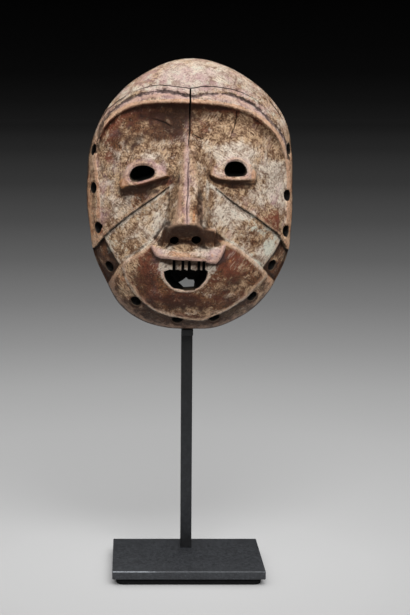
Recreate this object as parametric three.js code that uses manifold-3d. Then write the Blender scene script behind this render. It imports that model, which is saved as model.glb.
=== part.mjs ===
// A small carved wooden mask on a square steel rod with a flat steel base.
// Millimetres, +Z up. The face looks along -Y and +X is to the viewer's right.
// The origin is the middle of the underside of the felt pad.
import * as THREE from "three";
import { mergeVertices } from "three/addons/utils/BufferGeometryUtils.js";
import Module from "manifold-3d";

const wasm = await Module();
wasm.setup();

// Stand, driving dimensions
const gap = 0.3;
const pad = { width: 76, depth: 56, thick: 3.5, corner: 4 };
const plate = { width: 80, depth: 60, thick: 4.4, corner: 0.5 };
const rod = { side: 6, front: 12 };
const clip = { ledgeThick: 3.5, ledgeReach: 6.5, tongueThick: 3, tongueReach: 5, tongueLift: 12.8,
  tongueInset: 1, bite: 1 };

// Mask, driving dimensions. Depths are measured forward from its flat back.
const middle = { x: 1, z: 203 };
const chinLow = 130.4;
const back = rod.front - gap;
const shell = { rim: 6, crown: 28, roundSide: 2.5, roundTop: 4.6, power: 0.6, powerTop: 0.55 };
const hollow = { edge: 0.87, depth: 13, round: 6, past: 4 };

// How finely curves are divided, and the depths that the carving blocks run between
const grid = { around: 72, rings: 12, hollowRings: 5, cell: 4, ovalSides: 20, drillSides: 12,
  mouthSteps: 14 };
const block = { slabBack: 1, cutFloor: 1.5, raiseRoot: 5, near: 60 };
const smallest = 0.03;
const lap = 0.3;
const beyond = 60;

// Outline of the mask seen from the front, clockwise from the top, [x, z]
const outline = [
  [3, 272.6], [16, 269.9], [31.8, 261.7], [42.3, 252.7], [50.4, 241], [54.4, 222], [54.8, 205],
  [54.5, 186], [53, 171.6], [47.2, 157.7], [43.6, 151.3], [35.7, 142.2], [25.2, 135.3], [14, 131],
  [1, chinLow], [-12, 131.1], [-25.4, 135.3], [-36, 143.3], [-43.9, 157.2], [-50, 171.6],
  [-52.1, 186], [-53.3, 209.5], [-51.7, 226.2], [-46.4, 240.8], [-35.9, 255.2], [-23, 265.1],
  [-9, 271.2],
];

// Carved lines across the face, left to right, [x, z]
const browCrest = [[-48.7, 223], [-46.2, 235.7], [-41, 242.3], [-30.7, 251.9], [-20.6, 255.7],
  [-10.5, 255.8], [-0.4, 253.3], [9.7, 254.3], [20, 254.1], [30.3, 249.9], [40.9, 241.8],
  [46.3, 235.7], [50.5, 229.5], [52.5, 221]];
const browEdge = [[-46.4, 222], [-45.1, 231.6], [-41, 241.8], [-35.8, 245.9], [-25.7, 248.6],
  [-10, 249.8], [9.6, 248.8], [24.9, 245.8], [34.2, 241.8], [43.3, 232.2], [48.5, 222.4],
  [50.6, 214]];
const cheekLeft = [[-49.5, 173.5], [-41.1, 184], [-25.6, 196.7], [-11.3, 206.9]];
const cheekRight = [[13.2, 206.4], [25.5, 195.8], [36.9, 188.3], [46.4, 180.3], [52.2, 172.5]];
const bandLeft = [[-46, 158.5], [-34.9, 167], [-20.4, 177.9], [-12, 189]];
const bandRight = [[13.5, 181], [23.5, 176.3], [33.9, 168], [47.2, 154.8]];
const muzzleLow = [[-34.9, 165.5], [-31.8, 156.4], [-20.3, 143.3], [-9.8, 139], [5.9, 136.4],
  [16.4, 140.1], [29.4, 148.5], [41, 160]];
const faceSide = { left: [[-45.9, 186], [-46.6, 205]], right: [[51.2, 205], [50.8, 178]] };
const underNose = [[13, 186], [-13, 188]];

// Heights and depths of the carving
const brow = { rise: 2.6, groove: 1.4, grooveWide: 1.6, fadeLow: 216, fadeHigh: 240 };
const face = { underBrow: 3.6, fade: 16, plain: 0.7, sideStart: 0.74, sideEnd: 0.9, sideKeep: 0.2 };
const band = { deep: 2.6, start: 0.1, full: 0.4 };
const muzzle = { rise: 2 };
const crack = { x: -0.3, low: 232, high: 256.5, wide: 1.1, tip: 4, deep: 3 };
const nose = {
  // Each section from the bridge down: height, left foot, left and right of the crest, right foot, depth.
  sections: [
    { z: 234, feet: [-1.6, 0.4], crest: [-0.9, -0.1], depth: 31.5 },
    { z: 226, feet: [-5.5, 4.5], crest: [-2.8, 1.6], depth: 35.5 },
    { z: 208, feet: [-10, 9], crest: [-4.2, 1.7], depth: 41 },
    { z: 189.4, feet: [-14, 12.6], crest: [-7.2, 1.8], depth: 47.5 },
    { z: 183, feet: [-15.6, 13.6], crest: [-12.4, 9.6], depth: 41 },
    { z: 179.6, feet: [-15.6, 13.6], crest: [-14, 12.4], depth: 36.5 },
  ],
  root: 20,
  bury: 0.6,
};
const lip = {
  outline: [[-19.6, 179.6], [-18.6, 175.2], [-16.4, 171.2], [-10.6, 170.5], [8.3, 169.6],
    [14.1, 170.7], [16.4, 175.2], [17.3, 179.6]],
  x: -1.2, z: 174.2, depth: 39.5, bend: 0.011, roll: 0.07,
};
const teeth = { left: -15.6, right: 12.8, low: 163.6, highLeft: 170.2, highRight: 169.4, depth: 32.5,
  cuts: [-8.6, -4, -0.7, 4.2, 6.6], cutWide: 1, cutFloor: 21 };
const mouth = { x: -2.3, z: 163.6, halfWidth: 11.6, drop: 11.2, rise: 1, topShare: 0.6, floor: 17 };
const breach = [[-5.5, 156.4], [-3.4, 157.5], [-1.3, 159.1], [-0.2, 158], [2.6, 157.8],
  [3.2, 156.4], [2.9, 153.8], [-2.4, 153.4]];
const eyes = [
  { lid: [[-33.3, 206.4], [-31.8, 217], [-25.7, 223.2], [-19.6, 223.7], [-14, 219.6], [-11.4, 212]],
    hole: { x: -24.3, z: 214.1, halfWidth: 6.7, halfHeight: 4, turn: 0.2 } },
  { lid: [[11, 213.4], [13.5, 219.1], [17.5, 222.4], [23.1, 223.4], [29.2, 221.9], [32.8, 217.6],
    [34.4, 210.4]],
    hole: { x: 23.2, z: 216.1, halfWidth: 5.8, halfHeight: 3.6, turn: 0 } },
];
const lid = { proud: 0.4, rise: 3.2, thin: 0.3, span: 14 };
const eyeFloor = 17;
const nostrils = { radius: 2.1, deep: 8, depth: 39, lean: 0.1, at: [[-8.2, 180.6], [2.7, 181]] };
const rimHoles = { radius: 2.8, inward: 0.87, backward: 0.5, deep: 17,
  // Direction from the middle in degrees, and how far out toward the edge
  at: [[24.5, 0.965], [156, 0.965], [176.8, 0.933], [200.2, 0.92], [222.3, 0.915], [243, 0.885],
    [264.1, 0.918], [280.9, 0.911], [300.9, 0.904], [318.6, 0.9], [338.4, 0.946], [358.7, 0.941]] };

// Smooth value between 0 and 1 as t goes from a to b
function ease(a, b, t) {
  const s = Math.min(1, Math.max(0, (t - a) / (b - a)));
  return s * s * (3 - 2 * s);
}

// A smooth curve through points, read at x; it runs level past its ends.
function through(points) {
  const n = points.length;
  const slope = points.map((p, i) => {
    const a = points[Math.max(0, i - 1)];
    const b = points[Math.min(n - 1, i + 1)];
    return (b[1] - a[1]) / (b[0] - a[0]);
  });
  return (x) => {
    if (x <= points[0][0]) return points[0][1];
    if (x >= points[n - 1][0]) return points[n - 1][1];
    let i = 0;
    while (points[i + 1][0] < x) i += 1;
    const w = points[i + 1][0] - points[i][0];
    const t = (x - points[i][0]) / w;
    const t2 = t * t;
    const t3 = t2 * t;
    return (2 * t3 - 3 * t2 + 1) * points[i][1] + (t3 - 2 * t2 + t) * w * slope[i]
      + (3 * t2 - 2 * t3) * points[i + 1][1] + (t3 - t2) * w * slope[i + 1];
  };
}

// The outline as a radius for each direction from the middle: the same curve, wrapped once round.
function radiusByAngle() {
  const polar = outline.map(([x, z]) => [
    Math.atan2(z - middle.z, x - middle.x), Math.hypot(x - middle.x, z - middle.z)]);
  polar.sort((a, b) => a[0] - b[0]);
  const turn = 2 * Math.PI;
  const before = polar.slice(-3).map(([a, r]) => [a - turn, r]);
  const after = polar.slice(0, 3).map(([a, r]) => [a + turn, r]);
  return through([...before, ...polar, ...after]);
}

const radiusAt = radiusByAngle();
const browCrestAt = through(browCrest);
const browEdgeAt = through(browEdge);

// Where a point lies in the outline: 0 in the middle, 1 on the edge, and how far it looks upward.
function place(x, z) {
  const dx = x - middle.x;
  const dz = z - middle.z;
  const r = Math.hypot(dx, dz);
  return { ring: r / radiusAt(Math.atan2(dz, dx)), up: r > 0 ? Math.max(0, dz / r) : 0 };
}

// The plain head: a dome over the outline, fuller toward the forehead than at the sides.
function shellDepth(x, z) {
  const { ring, up } = place(x, z);
  const lift = up ** 1.5;
  const round = shell.roundSide + (shell.roundTop - shell.roundSide) * lift;
  const power = shell.power + (shell.powerTop - shell.power) * lift;
  return shell.rim + shell.crown * Math.max(0, 1 - Math.min(1, ring) ** round) ** power;
}

// The brow stands proud of the head and dies out down both sides.
function browDepth(x, z) {
  return shellDepth(x, z) + brow.rise * ease(brow.fadeLow, brow.fadeHigh, z);
}

// The face is cut back under the brow and comes forward again as it goes down.
function faceDepth(x, z) {
  const below = Math.max(0, browEdgeAt(x) - z);
  const side = 1 - (1 - face.sideKeep) * ease(face.sideStart, face.sideEnd, place(x, z).ring);
  return shellDepth(x, z) - face.plain - face.underBrow * Math.exp(-((below / face.fade) ** 2)) * side;
}

const bandDepth = (x, z) => shellDepth(x, z) - band.deep * ease(band.start, band.full, place(x, z).ring);
const muzzleDepth = (x, z) => shellDepth(x, z) + muzzle.rise;
const grooveDepth = (x, z) => shellDepth(x, z) - brow.groove;
const crackDepth = (x, z) => faceDepth(x, z) - crack.deep * ease(crack.low, crack.high, z);
const lipDepth = (x, z) => lip.depth - lip.bend * (x - lip.x) ** 2 - lip.roll * (z - lip.z) ** 2;

// Closed geometry to a solid that can be joined and cut
function solid(geometry) {
  const plain = geometry.clone();
  plain.deleteAttribute("normal");
  plain.deleteAttribute("uv");
  const merged = mergeVertices(plain, 1e-4);
  const mesh = new wasm.Mesh({
    numProp: 3,
    vertProperties: new Float32Array(merged.attributes.position.array),
    triVerts: new Uint32Array(merged.index.array),
  });
  return new wasm.Manifold(mesh);
}

// The largest single body, without the specks and slivers that are left where two cuts meet
function withoutChips(body) {
  return body.simplify(smallest).decompose().sort((a, b) => b.volume() - a.volume())[0];
}

function geometryOf(body) {
  const mesh = body.getMesh();
  const geometry = new THREE.BufferGeometry();
  geometry.setAttribute("position", new THREE.BufferAttribute(new Float32Array(mesh.vertProperties), 3));
  geometry.setIndex(new THREE.BufferAttribute(new Uint32Array(mesh.triVerts), 1));
  geometry.computeVertexNormals();
  return geometry;
}

function indexed(positions, triangles) {
  const geometry = new THREE.BufferGeometry();
  geometry.setAttribute("position", new THREE.Float32BufferAttribute(positions, 3));
  geometry.setIndex(triangles);
  return geometry;
}

// A closed body on rings round the middle, from depth frontAt(x, z) back to depth rear.
function ringSolid(scale, rings, frontAt, rear) {
  const positions = [middle.x, back - frontAt(middle.x, middle.z), middle.z];
  const triangles = [];
  for (let i = 1; i <= rings; i += 1) {
    const ring = Math.sin((i / rings) * (Math.PI / 2)) * scale;
    for (let j = 0; j < grid.around; j += 1) {
      const angle = (j / grid.around) * 2 * Math.PI - Math.PI;
      const r = ring * radiusAt(angle);
      const x = middle.x + r * Math.cos(angle);
      const z = middle.z + r * Math.sin(angle);
      positions.push(x, back - frontAt(x, z), z);
    }
  }
  const at = (i, j) => 1 + (i - 1) * grid.around + (j % grid.around);
  const rim = positions.length / 3;
  for (let j = 0; j < grid.around; j += 1) {
    const last = at(rings, j) * 3;
    positions.push(positions[last], back - rear, positions[last + 2]);
  }
  const hub = positions.length / 3;
  positions.push(middle.x, back - rear, middle.z);
  for (let j = 0; j < grid.around; j += 1) {
    const next = (j + 1) % grid.around;
    triangles.push(0, at(1, j), at(1, next));
    for (let i = 1; i < rings; i += 1) {
      triangles.push(at(i, j), at(i + 1, j), at(i + 1, next), at(i, j), at(i + 1, next), at(i, next));
    }
    triangles.push(at(rings, j), rim + j, rim + next, at(rings, j), rim + next, at(rings, next));
    triangles.push(hub, rim + next, rim + j);
  }
  return solid(indexed(positions, triangles));
}

// A closed block whose front face follows depthAt(x, z) over a rectangle of small cells
function reliefSolid(depthAt, low, high) {
  const nx = Math.ceil((high[0] - low[0]) / grid.cell);
  const nz = Math.ceil((high[1] - low[1]) / grid.cell);
  const positions = [];
  const triangles = [];
  for (const layer of [0, 1]) {
    for (let j = 0; j <= nz; j += 1) {
      for (let i = 0; i <= nx; i += 1) {
        const x = low[0] + ((high[0] - low[0]) * i) / nx;
        const z = low[1] + ((high[1] - low[1]) * j) / nz;
        positions.push(x, back - (layer === 0 ? depthAt(x, z) : block.slabBack), z);
      }
    }
  }
  const at = (i, j, layer) => layer * (nx + 1) * (nz + 1) + j * (nx + 1) + i;
  const quad = (a, b, c, d) => triangles.push(a, b, c, a, c, d);
  for (let j = 0; j < nz; j += 1) {
    for (let i = 0; i < nx; i += 1) {
      quad(at(i, j, 0), at(i + 1, j, 0), at(i + 1, j + 1, 0), at(i, j + 1, 0));
      quad(at(i, j, 1), at(i, j + 1, 1), at(i + 1, j + 1, 1), at(i + 1, j, 1));
    }
    quad(at(0, j, 0), at(0, j + 1, 0), at(0, j + 1, 1), at(0, j, 1));
    quad(at(nx, j, 0), at(nx, j, 1), at(nx, j + 1, 1), at(nx, j + 1, 0));
  }
  for (let i = 0; i < nx; i += 1) {
    quad(at(i, 0, 0), at(i, 0, 1), at(i + 1, 0, 1), at(i + 1, 0, 0));
    quad(at(i, nz, 0), at(i + 1, nz, 0), at(i + 1, nz, 1), at(i, nz, 1));
  }
  return solid(indexed(positions, triangles));
}

// A straight-sided block with the given front outline, between two depths
function prism(points, deepest, nearest) {
  const shape = new THREE.Shape(points.map(([x, z]) => new THREE.Vector2(x, z)));
  const geometry = new THREE.ExtrudeGeometry(shape, { depth: nearest - deepest, bevelEnabled: false });
  geometry.rotateX(Math.PI / 2);
  geometry.translate(0, back - deepest, 0);
  return solid(geometry);
}

// Points along a carved line from x = a to x = b, closer together toward its ends
function along(line, a, b, lift = 0) {
  const at = through(line);
  const count = Math.max(4, Math.round(Math.abs(b - a) / grid.cell));
  return Array.from({ length: count + 1 }, (_, i) => {
    const x = a + ((b - a) * (1 - Math.cos((Math.PI * i) / count))) / 2;
    return [x, at(x) + lift];
  });
}

function boxOf(points) {
  const xs = points.map((p) => p[0]);
  const zs = points.map((p) => p[1]);
  return [[Math.min(...xs) - 1, Math.min(...zs) - 1], [Math.max(...xs) + 1, Math.max(...zs) + 1]];
}

// Cut the body back to depthAt inside an outline
function carve(body, points, depthAt) {
  const [low, high] = boxOf(points);
  const waste = prism(points, block.cutFloor, block.near).subtract(reliefSolid(depthAt, low, high));
  return body.subtract(waste);
}

// Build the body up to depthAt inside an outline
function raise(body, points, depthAt) {
  const [low, high] = boxOf(points);
  return body.add(prism(points, block.raiseRoot, block.near).intersect(reliefSolid(depthAt, low, high)));
}

// Cut a straight pit of the given outline down to a flat floor
function pit(body, points, floor) {
  return body.subtract(prism(points, floor, block.near));
}

// Ellipse round a point, turned by an angle
function oval({ x, z, halfWidth, halfHeight, turn }) {
  return Array.from({ length: grid.ovalSides }, (_, i) => {
    const angle = (i / grid.ovalSides) * 2 * Math.PI;
    const u = halfWidth * Math.cos(angle);
    const v = halfHeight * Math.sin(angle);
    return [x + u * Math.cos(turn) - v * Math.sin(turn), z + u * Math.sin(turn) + v * Math.cos(turn)];
  });
}

// The two ends of a carved line, as x
const endsOf = (line) => [line[0][0], line[line.length - 1][0]];

function faceRegion() {
  const [browLeft, browRight] = endsOf(browEdge);
  const [cheekInner, cheekOuter] = endsOf(cheekRight);
  const [farCheek, nearCheek] = endsOf(cheekLeft);
  return [
    ...along(browEdge, browLeft, browRight), ...faceSide.right,
    ...along(cheekRight, cheekOuter - 6, cheekInner, -lap),
    ...along(cheekLeft, nearCheek, farCheek + 5.5, -lap), ...faceSide.left,
  ].reverse();
}

function browRegion() {
  const [lowLeft, lowRight] = endsOf(browEdge);
  const [highLeft, highRight] = endsOf(browCrest);
  return [...along(browEdge, lowLeft, lowRight, -2 * lap), ...along(browCrest, highRight, highLeft)];
}

function grooveRegion() {
  const [left, right] = endsOf(browCrest);
  const half = brow.grooveWide / 2;
  return [...along(browCrest, left, right, -half), ...along(browCrest, right, left, half)];
}

// From each side of the nose to past the edge of the mask
function bandRegions() {
  const noseLeft = endsOf(bandLeft)[1];
  const noseRight = endsOf(bandRight)[0];
  return [
    [...along(bandLeft, -beyond, noseLeft), cheekLeft[cheekLeft.length - 1],
      ...along(cheekLeft, noseLeft, -beyond)],
    [...along(bandRight, noseRight, beyond), ...along(cheekRight, beyond, cheekRight[0][0])],
  ];
}

function muzzleRegion() {
  const [left, right] = endsOf(muzzleLow);
  return [
    ...along(muzzleLow, left, right), ...along(bandRight, right - 0.5, endsOf(bandRight)[0], lap),
    ...underNose, ...along(bandLeft, endsOf(bandLeft)[1] - 2, left + 0.7, lap),
  ];
}

// The nose: sections joined from the bridge to the underside, each a low trapezium
function noseSolid() {
  const positions = [];
  const triangles = [];
  for (const { z, feet, crest, depth } of nose.sections) {
    const foot = (x) => Math.min(shellDepth(x, z), depth) - nose.bury;
    const ring = [[feet[0], nose.root], [feet[1], nose.root], [feet[1], foot(feet[1])],
      [crest[1], depth], [crest[0], depth], [feet[0], foot(feet[0])]];
    for (const [x, d] of ring) positions.push(x, back - d, z);
  }
  const n = 6;
  for (let s = 0; s + 1 < nose.sections.length; s += 1) {
    for (let k = 0; k < n; k += 1) {
      const a = s * n + k;
      const b = s * n + ((k + 1) % n);
      triangles.push(a, b, b + n, a, b + n, a + n);
    }
  }
  const last = (nose.sections.length - 1) * n;
  for (let k = 1; k + 1 < n; k += 1) {
    triangles.push(0, k + 1, k, last, last + k, last + k + 1);
  }
  return solid(indexed(positions, triangles));
}

// A round drill that goes deep into the wood from a point at the given depth
function drill(x, z, depth, direction, radius, deep) {
  const geometry = new THREE.CylinderGeometry(radius, radius, 2 * deep, grid.drillSides);
  const axis = new THREE.Vector3(...direction).normalize();
  geometry.applyQuaternion(new THREE.Quaternion().setFromUnitVectors(new THREE.Vector3(0, 1, 0), axis));
  geometry.translate(x, back - depth, z);
  return solid(geometry);
}

function rimDrills() {
  return rimHoles.at.map(([degrees, ring]) => {
    const angle = ((degrees > 180 ? degrees - 360 : degrees) * Math.PI) / 180;
    const r = ring * radiusAt(angle);
    const x = middle.x + r * Math.cos(angle);
    const z = middle.z + r * Math.sin(angle);
    const direction = [-Math.cos(angle) * rimHoles.inward, rimHoles.backward,
      -Math.sin(angle) * rimHoles.inward];
    return drill(x, z, shellDepth(x, z), direction, rimHoles.radius, rimHoles.deep);
  });
}

function hollowDepth(x, z) {
  const ring = Math.min(1, place(x, z).ring / hollow.edge);
  return hollow.depth * Math.sqrt(1 - ring ** hollow.round);
}

// Half an oval below, closed by a shorter flat edge above
function mouthOutline() {
  const { x, z, halfWidth, drop, rise, topShare } = mouth;
  const lower = Array.from({ length: grid.mouthSteps + 1 }, (_, i) => {
    const angle = Math.PI * (1 + i / grid.mouthSteps);
    return [x + halfWidth * Math.cos(angle), z + drop * Math.sin(angle)];
  });
  return [...lower, [x + halfWidth * topShare, z + rise], [x - halfWidth * topShare, z + rise]];
}

// Each eye is a raised lid, highest at its lower edge, with a pit through it.
function addEyes(body) {
  let carved = body;
  for (const { lid: rimPoints, hole } of eyes) {
    const bottom = Math.min(...rimPoints.map((p) => p[1]));
    const lidDepth = (x, z) => {
      const thinning = (1 - lid.thin) * ease(0, lid.span, z - bottom);
      return faceDepth(x, z) + lid.proud + lid.rise * (1 - thinning);
    };
    carved = raise(carved, [...rimPoints].reverse(), lidDepth);
    carved = pit(carved, oval(hole), eyeFloor);
  }
  return carved;
}

// Upper lip, a sunk row of teeth parted by cuts, and the open mouth with a break in its floor
function addMouth(body) {
  const { left, right, low, highLeft, highRight, depth, cuts, cutWide, cutFloor } = teeth;
  let carved = raise(body, lip.outline, lipDepth);
  carved = pit(carved, [[left, low], [right, low], [right, highRight], [left, highLeft]], depth);
  for (const x of cuts) {
    const [a, b] = [x - cutWide / 2, x + cutWide / 2];
    carved = pit(carved, [[a, low - lap], [b, low - lap], [b, highRight], [a, highRight]], cutFloor);
  }
  carved = pit(carved, mouthOutline(), mouth.floor);
  return pit(carved, breach, block.slabBack);
}

// The drying split: as wide as a line over the brow and down to a point between the eyes
function splitOutline() {
  const { x, low, high, wide, tip } = crack;
  return [[x, low], [x + wide / 2, high - tip], [x + wide / 2, high], [x - wide / 2, high],
    [x - wide / 2, high - tip]];
}

function maskBody() {
  let body = ringSolid(1, grid.rings, shellDepth, 0);
  body = raise(body, browRegion(), browDepth);
  body = carve(body, faceRegion(), faceDepth);
  body = carve(body, grooveRegion(), grooveDepth);
  for (const region of bandRegions()) body = carve(body, region, bandDepth);
  body = raise(body, muzzleRegion(), muzzleDepth);
  body = addEyes(body);
  body = body.add(noseSolid());
  body = carve(body, splitOutline(), crackDepth);
  body = addMouth(body);
  const { radius, deep, depth, lean, at } = nostrils;
  for (const [x, z] of at) body = body.subtract(drill(x, z, depth, [0, 1, lean], radius, deep));
  body = body.subtract(ringSolid(hollow.edge, grid.hollowRings, hollowDepth, -hollow.past));
  for (const hole of rimDrills()) body = body.subtract(hole);
  return geometryOf(withoutChips(body));
}

// A flat slab with rounded upright corners, lying at height z
function slab({ width, depth, thick, corner }, z, steps) {
  const w = width / 2;
  const d = depth / 2;
  const shape = new THREE.Shape();
  shape.moveTo(-w + corner, -d);
  shape.lineTo(w - corner, -d);
  shape.absarc(w - corner, -d + corner, corner, -Math.PI / 2, 0, false);
  shape.lineTo(w, d - corner);
  shape.absarc(w - corner, d - corner, corner, 0, Math.PI / 2, false);
  shape.lineTo(-w + corner, d);
  shape.absarc(-w + corner, d - corner, corner, Math.PI / 2, Math.PI, false);
  shape.lineTo(-w, -d + corner);
  shape.absarc(-w + corner, -d + corner, corner, Math.PI, 1.5 * Math.PI, false);
  const geometry = new THREE.ExtrudeGeometry(shape, { depth: thick, bevelEnabled: false, curveSegments: steps });
  geometry.translate(0, 0, z);
  return geometry;
}

function bar(x0, x1, y0, y1, z0, z1) {
  const geometry = new THREE.BoxGeometry(x1 - x0, y1 - y0, z1 - z0);
  geometry.translate((x0 + x1) / 2, (y0 + y1) / 2, (z0 + z1) / 2);
  return solid(geometry);
}

// The rod with its two short arms: one under the chin, one inside the hollow above the chin wall
function standRod() {
  const half = rod.side / 2;
  const foot = pad.thick + plate.thick;
  const under = chinLow - gap;
  const inside = chinLow + clip.tongueLift;
  const top = inside + clip.tongueThick;
  const root = rod.front + clip.bite;
  const narrow = half - clip.tongueInset;
  const shaft = bar(-half, half, rod.front, rod.front + rod.side, foot, top);
  const ledge = bar(-half, half, back - clip.ledgeReach, root, under - clip.ledgeThick, under);
  const tongue = bar(-narrow, narrow, back - clip.tongueReach, root, inside, top);
  return geometryOf(shaft.add(ledge).add(tongue));
}

const paints = {
  wood: new THREE.MeshStandardMaterial({ color: 0x8f7059, roughness: 0.75, metalness: 0 }),
  steel: new THREE.MeshStandardMaterial({ color: 0x1f1f21, roughness: 0.5, metalness: 0.2 }),
  felt: new THREE.MeshStandardMaterial({ color: 0x0d0d0e, roughness: 0.95, metalness: 0 }),
};

function piece(name, geometry, material) {
  const mesh = new THREE.Mesh(geometry, material);
  mesh.name = name;
  return mesh;
}

const group = new THREE.Group();
group.add(piece("mask", maskBody(), paints.wood));
group.add(piece("stand_rod", standRod(), paints.steel));
group.add(piece("base_plate", slab(plate, pad.thick, 3), paints.steel));
group.add(piece("felt_pad", slab(pad, 0, 6), paints.felt));

export default group;
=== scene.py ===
import math
import bpy
import numpy as np
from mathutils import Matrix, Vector


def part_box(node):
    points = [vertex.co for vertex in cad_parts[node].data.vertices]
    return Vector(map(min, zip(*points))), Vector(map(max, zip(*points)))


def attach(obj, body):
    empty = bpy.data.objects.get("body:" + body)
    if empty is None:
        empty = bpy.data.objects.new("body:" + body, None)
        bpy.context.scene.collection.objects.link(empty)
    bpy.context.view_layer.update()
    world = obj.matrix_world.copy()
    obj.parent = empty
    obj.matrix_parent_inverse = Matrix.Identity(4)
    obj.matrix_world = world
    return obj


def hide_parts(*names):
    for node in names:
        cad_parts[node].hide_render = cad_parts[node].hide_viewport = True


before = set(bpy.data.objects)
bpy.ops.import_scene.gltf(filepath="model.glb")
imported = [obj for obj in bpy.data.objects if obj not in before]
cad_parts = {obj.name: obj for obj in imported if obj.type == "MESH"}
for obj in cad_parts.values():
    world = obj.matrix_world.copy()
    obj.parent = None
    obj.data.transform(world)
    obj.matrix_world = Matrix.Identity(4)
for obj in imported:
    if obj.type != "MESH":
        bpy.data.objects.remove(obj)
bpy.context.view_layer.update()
mm = 0.001
print("frame loaded, nodes:", ", ".join(sorted(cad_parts)))

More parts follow.
